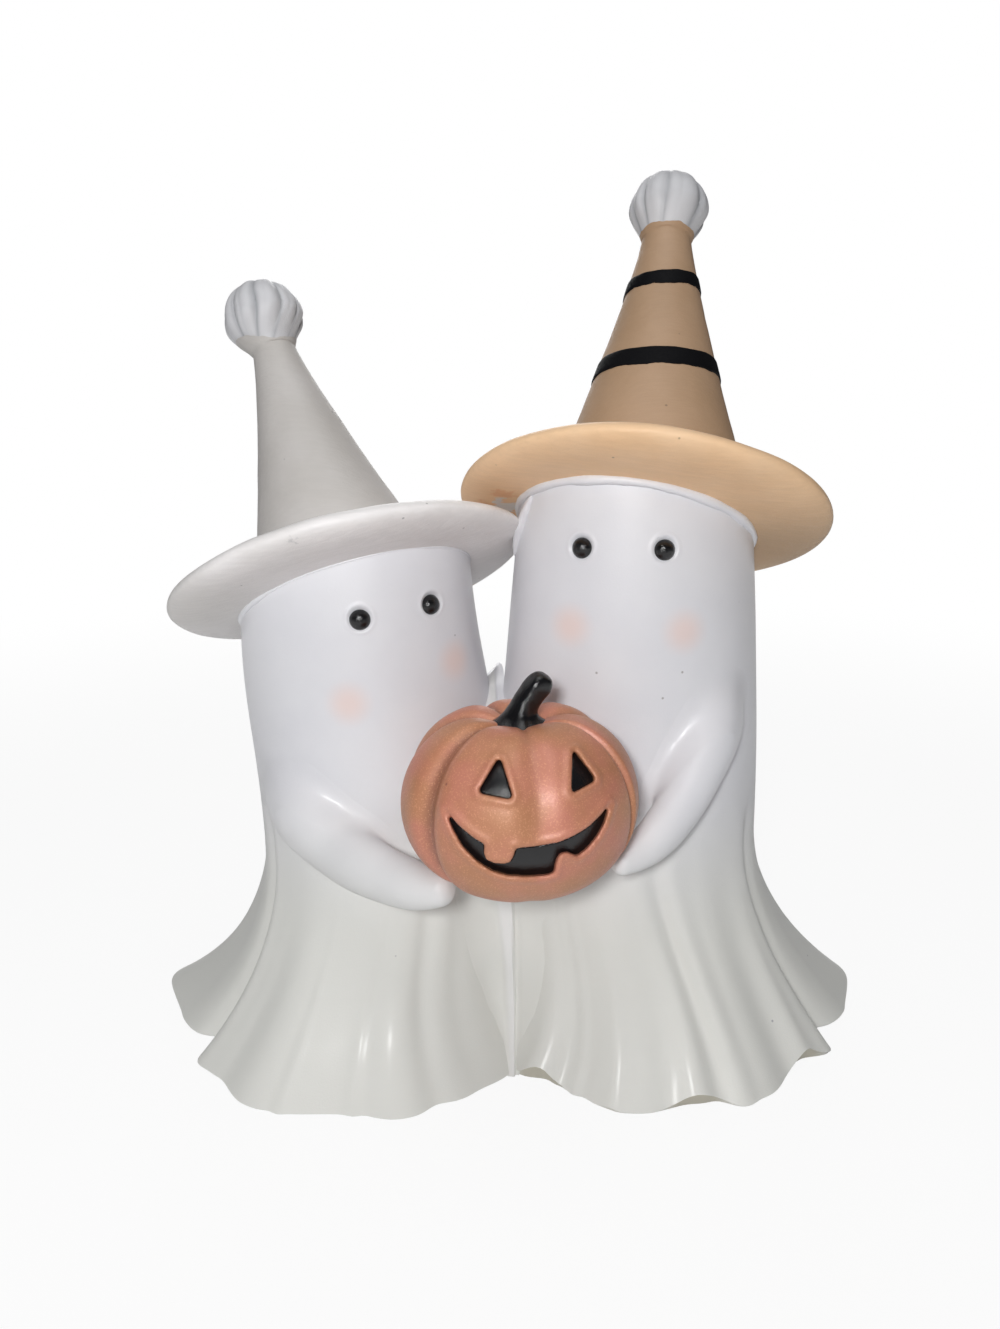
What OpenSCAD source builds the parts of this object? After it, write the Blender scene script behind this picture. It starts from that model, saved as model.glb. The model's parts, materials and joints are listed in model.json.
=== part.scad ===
// Ceramic figure of a short and a tall ghost in pointed hats that hold a carved pumpkin between them.
// Two hollow cast bodies are luted along a flat seam. Arms, hats, pumpkin and beads are cast apart
// and seated on them with spigots, pegs, dishes and flats.
// Millimetres. The origin is on the table, at the foot of the seam between the ghosts.
// +Z is up, +X points to the tall ghost's side, and the faces look towards -Y.

/* [Ghost bodies] */
// Distance from the seam to the short ghost's axis at its hem
short_foot_x = 39.5; // [38:0.5:41]
// Distance from the seam to the short ghost's axis at its waist
short_waist_x = 33; // [32:0.5:34.5]
// Distance from the seam to the short ghost's axis at its hat
short_head_x = 39; // [38:0.5:40.5]
// Height of the middle of the short ghost's crown above the table
short_crown_h = 111; // [108:1:114]
// Distance from the seam to the tall ghost's axis at its hem
tall_foot_x = 38; // [36.5:0.5:40]
// Distance from the seam to the tall ghost's axis at its waist
tall_waist_x = 28; // [27:0.5:29.5]
// Distance from the seam to the tall ghost's axis at its hat
tall_head_x = 28.5; // [27.5:0.5:30]
// Height of the middle of the tall ghost's crown above the table
tall_crown_h = 127; // [124:1:130]
// Radius of both heads under the hat
head_r = 27.8; // [27:0.2:29]
// Radius of the short ghost's waist
short_waist_r = 31.6; // [30.6:0.2:32.6]
// Radius of the tall ghost's waist
tall_waist_r = 33; // [32:0.2:34]
// Reach of the hems to the outer side, where they trail furthest
hem_side_r = 54; // [52:0.5:56]
// Reach of the hems to the front and back
hem_front_r = 47.5; // [45.5:0.5:49.5]
// Height at which the skirts start to flare
skirt_h = 62; // [56:1:68]
// Depth of the folds at the hem
fold_depth = 4.5; // [2.5:0.5:6]
// Distance by which the tall ghost's hem draws in at its outer front corner
tall_corner_in = 5; // [0:0.5:6]
// Height by which the tall ghost's hem lifts between its folds
hem_lift = 3.5; // [1:0.5:5]
// Thickness of the cast walls
wall = 5; // [4:0.5:6]
// Distance from the hem's edge in to the foot that it stands on
foot_inset = 2.5; // [1.5:0.5:3.5]
// Diameter of the vent holes through each floor and crown
vent_d = 3; // [2:0.5:3.5]
// Sideways lean of the seam between the bodies, in degrees
seam_lean = 3.4; // [2:0.2:4.5]

/* [Hats] */
// Radius of both brims
brim_r = 43.2; // [42:0.2:45]
// Thickness of both brims
brim_t = 5.5; // [4.5:0.5:6.5]
// Backward tilt of the short ghost's brim, in degrees
short_brim_back = 24.5; // [21:0.5:28]
// Outward tilt of the short ghost's brim, in degrees
short_brim_side = 15; // [12:0.5:17]
// Backward tilt of the tall ghost's brim, in degrees
tall_brim_back = 27; // [24:0.5:30]
// Outward tilt of the tall ghost's brim, in degrees
tall_brim_side = 9; // [6:0.5:12]
// Outward tilt of the short ghost's cone, in degrees
short_cone_side = 18.4; // [15:0.2:20]
// Outward tilt of the tall ghost's cone, in degrees
tall_cone_side = 5.6; // [4:0.2:10]
// Distance of both brims' middle in front of their crown's middle
brim_forward = 3; // [0:0.5:4]
// Distance of the tall ghost's brim outward from its crown's middle
tall_brim_out = 0.8; // [0:0.2:2]
// Radius of the short ghost's cone where it stands on the brim
short_cone_r = 22; // [21:0.5:23]
// Radius of the tall ghost's cone where it stands on the brim
tall_cone_r = 24.5; // [23:0.5:25.5]
// Distance of the short ghost's cone outward from its crown's middle
short_cone_out = 1.8; // [0:0.2:2.6]
// Distance of the tall ghost's cone outward from its crown's middle
tall_cone_out = 2.2; // [0:0.2:2.6]
// Radius of the short ghost's cone under the pompom
short_tip_r = 5.4; // [5:0.2:6]
// Radius of the tall ghost's cone under the pompom
tall_tip_r = 6.2; // [5.6:0.2:6.8]
// Length of the short ghost's cone
short_cone_l = 61; // [56:1:66]
// Length of the tall ghost's cone
tall_cone_l = 72; // [67:1:76]
// Thickness of the cones' walls
cone_wall = 3.5; // [3:0.5:4.5]
// Radius of both pompoms
pompom_r = 10.2; // [9.4:0.2:11.4]
// Diameter of the pegs under the pompoms and the stem
peg_d = 4; // [3:0.2:4.4]
// Distance from the top of the tall cone to its upper band
band_upper_from_top = 14; // [11:0.5:16]
// Width of the upper band
band_upper_w = 4.2; // [3:0.2:6]
// Distance from the top of the tall cone to its lower band
band_lower_from_top = 38; // [35:0.5:40]
// Width of the lower band
band_lower_w = 5.2; // [4:0.2:7]
// Thickness of the bands' black slip
band_t = 0.4; // [0.3:0.1:0.8]

/* [Faces] */
// Diameter of the ghosts' eye beads
eye_d = 4.8; // [4:0.2:5.6]
// Width of the dish's rim round each bead
eye_rim = 0.9; // [0.5:0.1:1.4]
// Depth of the flat dish that each bead sits in
eye_dish = 1.2; // [0.8:0.1:1.8]
// Distance of the short ghost's outer eye below the middle of its crown
short_eye_drop = 1.3; // [0.5:0.2:4]
// Height by which the short ghost's inner eye is above its outer one
short_eye_rise = 2.2; // [0:0.2:3]
// Distance of the tall ghost's eyes below the middle of its crown
tall_eye_drop = 1.8; // [0.4:0.2:5]

/* [Arms] */
// Radius of both arms at the shoulder
shoulder_r = 11; // [9.5:0.5:12]

/* [Pumpkin] */
// Radius of the pumpkin
pumpkin_r = 25.2; // [24:0.2:26]
// Height of the pumpkin
pumpkin_h = 39.8; // [38:0.2:42]
// Height of the pumpkin's middle above the table
pumpkin_z = 75.2; // [74:0.2:77]
// Distance of the pumpkin's middle in front of the bodies' axes
pumpkin_y = 42.5; // [41.5:0.5:44]
// Depth of the carved face
carve_depth = 2.2; // [1.6:0.2:2.8]
// Thickness of the black glaze in the carved face
glaze_t = 0.6; // [0.4:0.1:0.8]
// Length of the stem along its bend
stem_l = 12; // [10:0.5:14]
// Radius of the stem at its top
stem_r = 2; // [1.6:0.1:2.4]

/* [Hidden] */

// Clearance of seated pieces, and the overrun of cuts
gap = 0.15;
over = 1;
// Least height of the hem's edge above the table
hem_edge = 0.5;
// Steps round and up the bodies, and round and up their hollows
body_n = 64;
body_rings = 18;
hollow_n = 24;
hollow_rings = 8;

// Shares of the crown's height: where the waist is, and where the crown's tilt starts
waist_share = 0.42;
tilt_share = 0.45;
// Depth of a body as a share of its width
depth_share = 0.87;

// Directions of the hem's fold ridges, in degrees from the front towards the ghost's outer side
short_ridges = [-64, -31, -6, 19, 56, 98, 132, 160, 190, 226, 262];
tall_ridges = [-62, -34, -10, 20, 40, 61, 103, 134, 164, 196, 230, 266];

// Direction in which the hems trail, and how narrowly
trail_angle = 106;
trail_power = 6;

// Direction in which a hem draws in at its corner, and how narrowly
corner_angle = 46;
corner_power = 10;

// Power with which each skirt flares towards its hem
short_flare = 4.6;
tall_flare = 3.5;

// A ghost's own values in one list, with a function that reads each
short_ghost = [-1, short_foot_x, short_waist_x, short_head_x, short_crown_h, short_waist_r, short_flare,
    short_brim_back, short_brim_side, short_ridges, 0, 0, short_cone_out, short_cone_r, short_cone_l,
    short_cone_side, short_tip_r, 0];
tall_ghost = [1, tall_foot_x, tall_waist_x, tall_head_x, tall_crown_h, tall_waist_r, tall_flare,
    tall_brim_back, tall_brim_side, tall_ridges, hem_lift, tall_brim_out, tall_cone_out, tall_cone_r,
    tall_cone_l, tall_cone_side, tall_tip_r, tall_corner_in];
function side(g) = g[0];
function foot_x(g) = g[1];
function waist_x(g) = g[2];
function head_x(g) = g[3];
function crown_h(g) = g[4];
function waist_r(g) = g[5];
function flare(g) = g[6];
function tilt_back(g) = g[7];
function tilt_out(g) = g[8];
function ridges_of(g) = g[9];
function lift_of(g) = g[10];
function brim_out(g) = g[11];
function cone_out(g) = g[12];
function cone_r(g) = g[13];
function cone_l(g) = g[14];
function cone_side(g) = g[15];
function tip_r(g) = g[16];
function corner_in(g) = g[17];

function mix(a, b, s) = a + (b - a) * s;
function clamp(s) = min(1, max(0, s));
function ease(s) = clamp(s) * clamp(s) * (3 - 2 * clamp(s));

// Height of a fold, 1 on a ridge and 0 in a valley, at angle a and with the ridges in order
function fold(a, ridges) =
    let (b = ridges[0] + (a - ridges[0] + 720) % 360,
        i = max([for (k = [0 : len(ridges) - 1]) if (ridges[k] <= b) k]),
        next = i == len(ridges) - 1 ? ridges[0] + 360 : ridges[i + 1],
        s = (b - ridges[i]) / (next - ridges[i]))
    pow((1 + cos(360 * s)) / 2, 0.8);

// Where the seam's plane crosses the height z
function seam_x(z) = -z * tan(seam_lean);

// Slopes of a ghost's tilted crown, and its height over the table at a place
function slope_x(g) = -side(g) * tan(tilt_out(g)) / cos(tilt_back(g));
function slope_y(g) = -tan(tilt_back(g));

function axis_x(g, s) = side(g) * (s < waist_share
    ? mix(foot_x(g), waist_x(g), ease(s / waist_share))
    : mix(waist_x(g), head_x(g), ease((s - waist_share) / (1 - waist_share))));

// Radius of the straight part of a body at the share s of its crown's height
function column_r(g, s) =
    mix(waist_r(g), head_r, pow(clamp((s - waist_share) / (1 - waist_share)), 1.4));

// Radius of the flared skirt at angle a and height z
function skirt_r(g, a, s, inset) =
    let (z = s * crown_h(g),
        low = clamp(1 - z / skirt_h),
        trail = pow(max(0, cos(a - trail_angle)), trail_power),
        corner = pow(max(0, cos(a - corner_angle)), corner_power),
        hem = mix(hem_front_r, hem_side_r, trail) - corner_in(g) * corner,
        ridge = fold(a, ridges_of(g)))
    mix(column_r(g, s), hem, pow(low, flare(g))) + fold_depth * (ridge - 0.65) * pow(low, 1.7) - inset;

// A point of a body's outside at angle a and share s of its crown's height. The skin is moved in by
// inset, and the seam by seam_inset. lift raises the hem.
function skin(g, a, s, inset = 0, seam_inset = 0, lift = 0) =
    let (r = skirt_r(g, a, s, inset),
        x0 = axis_x(g, s) + side(g) * r * sin(a),
        y = -r * cos(a) * mix(1, depth_share, ease(2 * s)),
        z0 = mix(lift, crown_h(g), s),
        x1 = at_seam(g, x0, z0, seam_inset),
        tilt = pow(clamp((s - tilt_share) / (1 - tilt_share)), 1.6),
        z = z0 + tilt * (slope_x(g) * (x1 - axis_x(g, 1)) + slope_y(g) * y))
    [at_seam(g, x0, z, seam_inset), y, z];

// Keeps a place x at the height z on its own side of the seam
function at_seam(g, x, z, seam_inset) = side(g) > 0
    ? max(x, seam_x(z) + seam_inset)
    : min(x, seam_x(z) - seam_inset);

// Height of the hem's edge over the table at angle a, with no lift beside the seam
function lift_at(g, a) = hem_edge
    + lift_of(g) * pow(1 - fold(a, ridges_of(g)), 1.5) * ease((110 - abs(a > 180 ? a - 360 : a)) / 40);

// Solid between closed rings of points, the first ring lowest, each anticlockwise from above
module loft(rings) {
    n = len(rings[0]);
    m = len(rings);
    polyhedron(
        points = [for (r = rings) each r],
        faces = concat(
            [[for (i = [0 : n - 1]) i]],
            [for (j = [0 : m - 2], i = [0 : n - 1])
                let (a = j * n + i, b = j * n + (i + 1) % n)
                each [[a, a + n, b], [b, a + n, b + n]]],
            [[for (i = [n - 1 : -1 : 0]) (m - 1) * n + i]]));
}

// Angles round a ghost from its front, in the order that runs anticlockwise from above
function round_angles(g, n) = [for (i = [0 : n - 1]) (360 + side(g) * 360 * i / n) % 360];

// Closed outside of a body, standing on its foot
module body_outside(g) {
    angles = round_angles(g, body_n);
    foot = [for (a = angles) skin(g, a, 0, foot_inset)];
    loft(concat(
        [foot],
        [[for (k = [0 : body_n - 1]) foot[k] + [0, 0, lift_at(g, angles[k]) - hem_edge / 2]]],
        [for (j = [0 : body_rings]) [for (a = angles)
            skin(g, a, pow(j / body_rings, 1.5), lift = lift_at(g, a))]]));
}

// Hollow inside a body, a wall's thickness within it
module body_hollow(g) {
    floor_share = wall / crown_h(g);
    loft([for (j = [0 : hollow_rings])
        [for (a = round_angles(g, hollow_n))
            skin(g, a, mix(floor_share, 1 - floor_share, pow(j / hollow_rings, 1.3)), wall, wall)]]);
}

// Frame of a hat: its origin is in the middle of the crown, and its axis is square to the crown
module on_crown(g) {
    translate([axis_x(g, 1), 0, crown_h(g)])
        rotate([-tilt_back(g), 0, 0]) rotate([0, side(g) * tilt_out(g), 0]) children();
}

// Frame of an eye: its origin is in the dish, and its axis points out of the head
module at_eye(g, eye) {
    translate(skin(g, eye[0], eye_share(g, eye[0], eye[1]), eye_dish))
        rotate([0, 0, side(g) * eye[0]]) rotate([90, 0, 0]) children();
}

// Share of the crown's height at which the skin reaches the height h at angle a
function eye_share(g, a, h, low = 0.6, high = 1.2, steps = 24) = steps == 0 ? low
    : let (mid = (low + high) / 2)
    skin(g, a, mid)[2] < h
        ? eye_share(g, a, h, mid, high, steps - 1)
        : eye_share(g, a, h, low, mid, steps - 1);

// Hollow body with a socket for its hat and a dish for each eye
module body(g, eyes) {
    difference() {
        body_outside(g);
        body_hollow(g);
        on_crown(g) translate([0, 0, -socket_depth])
            cylinder(r = socket_r, h = socket_depth + over, $fn = 64);
        on_crown(g) translate([0, 0, -3 * wall]) cylinder(d = vent_d, h = 3 * wall, $fn = 32);
        translate([side(g) * foot_x(g), 0, -over]) cylinder(d = vent_d, h = wall + 2 * over, $fn = 32);
        for (eye = eyes) at_eye(g, eye)
            cylinder(r = eye_d / 2 + eye_rim, h = eye_dish + over, $fn = 48);
    }
}

// Glossy bead with a flat back that lies in its dish
module eye_bead(g, eye) {
    dome = 0.36 * eye_d;
    ball = (pow(eye_d / 2, 2) + pow(dome, 2)) / (2 * dome);
    at_eye(g, eye) intersection() {
        translate([0, 0, eye_dish / 2 + dome - ball]) sphere(r = ball, $fn = 48);
        cylinder(d = eye_d, h = eye_d, $fn = 48);
    }
}

// Each ghost's outer and inner eye: its angle from the front towards the outer side, and its height
short_eye_h = short_crown_h - short_eye_drop;
short_eyes = [[-7.5, short_eye_h], [-42.5, short_eye_h + short_eye_rise]];
tall_eye_h = tall_crown_h - tall_eye_drop;
tall_eyes = [[6.4, tall_eye_h], [-30.7, tall_eye_h]];

// Socket in each crown for the brim's spigot, and the boss on each brim for its cone
socket_r = 0.45 * head_r;
socket_depth = 0.55 * wall;
boss_h = 0.7 * cone_wall;

// Round brim with a rounded rim, a spigot below and a boss on top, and a bore that vents the cone
module brim(g) {
    on_crown(g) difference() {
        union() {
            translate([side(g) * brim_out(g), -brim_forward, 0]) rotate_extrude($fn = 96) {
                square([brim_r - brim_t / 2, brim_t]);
                translate([brim_r - brim_t / 2, brim_t / 2]) circle(d = brim_t, $fn = 32);
            }
            translate([0, 0, gap - socket_depth]) cylinder(r = socket_r - gap, h = socket_depth, $fn = 64);
            translate([side(g) * cone_out(g), 0, 0])
                cylinder(r = cone_r(g) - 2 * cone_wall, h = brim_t + boss_h, $fn = 64);
        }
        translate([0, 0, -socket_depth])
            cylinder(d = vent_d, h = socket_depth + brim_t + boss_h + over, $fn = 32);
    }
}

// Frame of a cone: its origin is in the middle of its foot on the brim, and its axis runs up the cone
module on_brim(g) {
    on_crown(g) translate([side(g) * cone_out(g), 0, brim_t])
        rotate([0, side(g) * (cone_side(g) - tilt_out(g)), 0]) children();
}

// Outer radius of a cone at the share s of its length
function cone_outer_r(g, s) = mix(tip_r(g), cone_r(g), pow(1 - s, 1.18));

// Hollow cone with a slightly concave side and a closed top that has a bore for the pompom's peg.
// stations holds the shares of its length where its side bends.
module cone(g, stations) {
    l = cone_l(g);
    root = -cone_r(g) * sin(abs(cone_side(g) - tilt_out(g))) - over;
    root_r = cone_r(g) - root * (cone_r(g) - cone_outer_r(g, stations[1])) / (stations[1] * l);
    top_wall = 2 * cone_wall;
    roof = 1 - top_wall / l;
    difference() {
        on_brim(g) rotate_extrude($fn = 96) polygon(concat(
            [[0, root], [root_r, root]],
            [for (s = stations) [cone_outer_r(g, s), s * l]],
            [[0, l]]));
        on_brim(g) rotate_extrude($fn = 96) polygon(concat(
            [[0, root - over], [root_r - cone_wall, root - over]],
            [for (s = stations) if (s < roof - over / l) [cone_outer_r(g, s) - cone_wall, s * l]],
            [[cone_outer_r(g, roof) - cone_wall, roof * l], [0, roof * l]]));
        on_brim(g) translate([0, 0, l - top_wall - over])
            cylinder(d = peg_d + 2 * gap, h = top_wall + 2 * over, $fn = 48);
        on_crown(g) translate([0, 0, brim_t - brim_r]) cylinder(r = brim_r, h = brim_r, $fn = 32);
    }
}

// Band of slip laid on a cone between two distances from its top
module band(g, from_top, w) {
    l = cone_l(g);
    s0 = 1 - (from_top + w) / l;
    s1 = 1 - from_top / l;
    r0 = cone_outer_r(g, s0);
    r1 = cone_outer_r(g, s1);
    on_brim(g) rotate_extrude($fn = 96)
        polygon([[r0, s0 * l], [r0 + band_t, s0 * l], [r1 + band_t, s1 * l], [r1, s1 * l]]);
}

short_stations = [for (i = [0 : 10]) i / 10];
tall_stations = [0, 0.12, 0.24, 0.36,
    1 - (band_lower_from_top + band_lower_w) / tall_cone_l, 1 - band_lower_from_top / tall_cone_l, 0.6, 0.68,
    1 - (band_upper_from_top + band_upper_w) / tall_cone_l, 1 - band_upper_from_top / tall_cone_l, 0.92, 1];

// Lobes of the pompoms and how far each twists, the angle up the ball where its top starts to sink, and
// the angle where it closes
pompom_lobes = 12;
short_twist = 50;
tall_twist = 12;
sink_from = 140;
sink_to = 172;

// Lobed ball that sits on the cone's flat top, with a dimple on top and a peg below
module pompom(g, twist) {
    n = 4 * pompom_lobes;
    m = 11;
    start = asin(tip_r(g) / pompom_r);
    drop = pompom_r * cos(start);
    on_brim(g) translate([0, 0, cone_l(g)]) {
        loft([for (j = [0 : m]) let (
                b = mix(start, sink_to, j / m),
                lobe_depth = 0.1 * pompom_r * sin(b) * sin(b) * min(1, j),
                sink = 0.12 * pompom_r * clamp((b - sink_from) / (sink_to - sink_from)))
            [for (i = [0 : n - 1]) let (
                    a = 360 * i / n + twist * (j / m - 0.5),
                    ridge = pow(abs(sin(180 * i * pompom_lobes / n)), 0.7),
                    r = pompom_r * sin(b) - lobe_depth * (1 - ridge))
                [r * cos(a), r * sin(a), drop - pompom_r * cos(b) - sink]]]);
        translate([0, 0, -cone_wall]) cylinder(d = peg_d, h = cone_wall + over, $fn = 48);
    }
}

// Smooth curve through the rows of a table, at the share s of its run
function along(rows, s) =
    let (k = min(floor(s * (len(rows) - 1)), len(rows) - 2),
        f = s * (len(rows) - 1) - k,
        b = rows[k], c = rows[k + 1],
        a = k == 0 ? 2 * b - c : rows[k - 1],
        d = k + 2 >= len(rows) ? 2 * c - b : rows[k + 2])
    0.5 * (2 * b + (c - a) * f + (2 * a - 5 * b + 4 * c - d) * f * f + (3 * b - a - 3 * c + d) * f * f * f);

// Tube of round sections through centres with their radii
module sweep(centres, radii, n) {
    m = len(centres);
    loft([for (j = [0 : m - 1]) let (
            t = centres[min(j + 1, m - 1)] - centres[max(j - 1, 0)],
            w = t / norm(t),
            u = cross(w, [0, 0, 1]) / norm(cross(w, [0, 0, 1])),
            v = cross(u, w))
        [for (i = [n - 1 : -1 : 0]) centres[j] + radii[j] * (cos(360 * i / n) * u + sin(360 * i / n) * v)]]);
}

// Run of each arm: the angle from the ghost's front, the share of its crown's height, and the stand-off
// from the skin and the radius as shares of the shoulder's radius
short_arm_shares = [[60, 0.69, -1.1, 0.8], [46, 0.61, -0.6, 0.88], [32, 0.555, -0.28, 0.9],
    [11, 0.518, 0.1, 0.78], [-6, 0.5, 0.65, 0.74], [-18, 0.49, 1.35, 0.63], [-24, 0.49, 1.95, 0.28]];
tall_arm_shares = [[52, 0.785, -1.05, 0.76], [41, 0.735, -0.55, 0.82], [30, 0.675, -0.15, 0.78],
    [19, 0.607, 0.1, 0.7], [9, 0.545, 0.45, 0.58], [-1, 0.499, 1.05, 0.44], [-10, 0.474, 1.6, 0.22]];

// Arm that lies against its ghost and reaches under the pumpkin
module arm(g, rows) {
    m = 20;
    marks = [for (j = [0 : m]) along(rows, j / m)];
    difference() {
        sweep([for (k = marks) skin(g, k[0], k[1], -k[2] * shoulder_r)],
            [for (k = marks) k[3] * shoulder_r], 20);
        body_outside(g);
        pumpkin_outside();
    }
}

// Frame of the pumpkin, with its origin in its middle
module at_pumpkin() {
    translate([0, -pumpkin_y, pumpkin_z]) children();
}

// Lobes of the pumpkin, how far their grooves are turned, and the latitude where its ends close
pumpkin_lobes = 7;
groove_turn = 8;
pumpkin_end = 82;

// Lobed solid of the pumpkin's shape, moved in by inset, with k sides to a lobe and m rings
module pumpkin_form(inset, k, m) {
    n = k * pumpkin_lobes;
    at_pumpkin() loft([for (j = [0 : m]) let (b = mix(-pumpkin_end, pumpkin_end, j / m))
        [for (i = [0 : n - 1]) let (
                a = 360 * i / n + groove_turn - 90,
                groove = pow(abs(cos(180 * i * pumpkin_lobes / n)), 5),
                wide = pow(cos(b), 0.8) * (1 - 0.085 * groove * cos(b / 1.6)),
                dimple = 0.2 * exp(-pow(wide / 0.32, 2)))
            [(pumpkin_r - inset) * wide * cos(a),
                (pumpkin_r - inset) * wide * sin(a),
                (pumpkin_h / 2 - inset) * (sin(b) * (1 - 0.06 * groove) - sign(b) * dimple)]]]);
}

module pumpkin_outside() {
    pumpkin_form(0, 8, 16);
}

module pumpkin_core(inset) {
    pumpkin_form(inset, 4, 12);
}

// Frame of the carved face, with its axis out of the pumpkin's front
face_pitch = 21;
module at_face() {
    at_pumpkin() rotate([90 - face_pitch, 0, 0]) children();
}

// Outlines of the carved face as shares of the pumpkin's radius
eye_left_shares = [[-0.16, 0.29], [-0.3, 0.06], [-0.08, 0.015]];
eye_right_shares = [[0.4, 0.35], [0.39, 0.07], [0.56, 0.15]];
mouth_shares = [[-0.53, -0.155], [-0.33, -0.48], [-0.14, -0.57], [0.055, -0.585], [0.26, -0.57],
    [0.27, -0.42], [0.36, -0.39], [0.42, -0.44], [0.55, -0.33], [0.65, -0.18], [0.68, -0.045],
    [0.5, -0.215], [0.28, -0.32], [0.1, -0.35], [-0.05, -0.358],
    [-0.06, -0.47], [-0.27, -0.45], [-0.275, -0.32], [-0.42, -0.24]];

// Straight cut of one outline from the pumpkin's middle out through its front
module face_cut(shares) {
    at_face() linear_extrude(height = 2 * pumpkin_r) polygon(shares * pumpkin_r);
}

// Black glaze on the floor of one carved outline
module glaze(shares) {
    difference() {
        intersection() {
            face_cut(shares);
            pumpkin_core(carve_depth - glaze_t);
        }
        pumpkin_core(carve_depth);
    }
}

// Flat seat for the stem in the pumpkin's top, the radius of the stem's foot, and the share of it by
// which its flutes stand out
stem_seat_z = 0.42 * pumpkin_h;
stem_foot_r = 0.47 * stem_l;
stem_flute = 0.16;

module pumpkin_body() {
    difference() {
        pumpkin_outside();
        body_outside(short_ghost);
        body_outside(tall_ghost);
        difference() {
            for (outline = [eye_left_shares, eye_right_shares, mouth_shares]) face_cut(outline);
            pumpkin_core(carve_depth);
        }
        at_pumpkin() translate([0, 0, stem_seat_z]) {
            cylinder(r = stem_foot_r * (1 + stem_flute) + gap, h = pumpkin_h, $fn = 64);
            translate([0, 0, -2 * peg_d]) cylinder(d = peg_d + 2 * gap, h = 2 * peg_d + over, $fn = 48);
        }
    }
}

// Stem that spreads at its foot and bends to the side, with a peg into the pumpkin
module stem_body() {
    n = 20;
    m = 9;
    at_pumpkin() translate([0, 0, stem_seat_z]) {
        loft([for (j = [0 : m]) let (
                s = j / m,
                lean = 42 * ease(2 * s),
                r = mix(stem_foot_r, stem_r, pow(ease(min(1, 2.6 * s)), 0.6)) * (1 + 0.12 * s),
                c = [stem_l * 0.52 * pow(s, 1.7), stem_l * 0.1 * s, stem_l * 0.86 * s])
            [for (i = [0 : n - 1]) let (
                    a = 360 * i / n,
                    q = r * (1 + stem_flute * (1 - s) * cos(5 * a)))
                c + [q * cos(a) * cos(lean), q * sin(a), -q * cos(a) * sin(lean)]]]);
        translate([0, 0, gap - 2 * peg_d]) cylinder(d = peg_d, h = 2 * peg_d, $fn = 48);
    }
}

module short_body() {
    color("#d9d9dc") body(short_ghost, short_eyes);
}

module tall_body() {
    color("#d9d9dc") body(tall_ghost, tall_eyes);
}

module short_arm() {
    color("#d9d9dc") arm(short_ghost, short_arm_shares);
}

module tall_arm() {
    color("#d9d9dc") arm(tall_ghost, tall_arm_shares);
}

module short_eye_outer() {
    color("#101010") eye_bead(short_ghost, short_eyes[0]);
}

module short_eye_inner() {
    color("#101010") eye_bead(short_ghost, short_eyes[1]);
}

module tall_eye_outer() {
    color("#101010") eye_bead(tall_ghost, tall_eyes[0]);
}

module tall_eye_inner() {
    color("#101010") eye_bead(tall_ghost, tall_eyes[1]);
}

// Its inner edge is cut to the tall ghost's head, where it is luted
module short_brim() {
    color("#c9c5bf") difference() {
        brim(short_ghost);
        body_outside(tall_ghost);
    }
}

module short_cone() {
    color("#b5b0ac") cone(short_ghost, short_stations);
}

module short_pompom() {
    color("#d9d9dc") pompom(short_ghost, short_twist);
}

module tall_brim() {
    color("#d4b083") brim(tall_ghost);
}

module tall_cone() {
    color("#a68c6e") cone(tall_ghost, tall_stations);
}

module tall_band_upper() {
    color("#161616") band(tall_ghost, band_upper_from_top, band_upper_w);
}

module tall_band_lower() {
    color("#161616") band(tall_ghost, band_lower_from_top, band_lower_w);
}

module tall_pompom() {
    color("#d9d9dc") pompom(tall_ghost, tall_twist);
}

module pumpkin() {
    color("#b9775a") pumpkin_body();
}

module pumpkin_eye_left() {
    color("#101010") glaze(eye_left_shares);
}

module pumpkin_eye_right() {
    color("#101010") glaze(eye_right_shares);
}

module pumpkin_mouth() {
    color("#101010") glaze(mouth_shares);
}

module stem() {
    color("#101010") stem_body();
}

short_body();
tall_body();
short_arm();
tall_arm();
short_eye_outer();
short_eye_inner();
tall_eye_outer();
tall_eye_inner();
short_brim();
short_cone();
short_pompom();
tall_brim();
tall_cone();
tall_band_upper();
tall_band_lower();
tall_pompom();
pumpkin();
pumpkin_eye_left();
pumpkin_eye_right();
pumpkin_mouth();
stem();
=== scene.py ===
"""Ceramic figure of two ghosts in pointed hats holding a carved pumpkin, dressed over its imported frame.

Shapes are worked out in millimetres, in the frame of the solids: +Z up, +X towards the tall ghost's
side, and the faces looking towards -Y. Angles are in degrees and start at the front. Meshes are
written in metres.
"""

from __future__ import annotations

import json
import logging
import math
from collections.abc import Callable, Sequence
from dataclasses import dataclass, replace
from enum import Enum

import bmesh
import bpy
from mathutils import Matrix, Vector, noise
from mathutils.bvhtree import BVHTree
from mathutils.kdtree import KDTree

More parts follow.
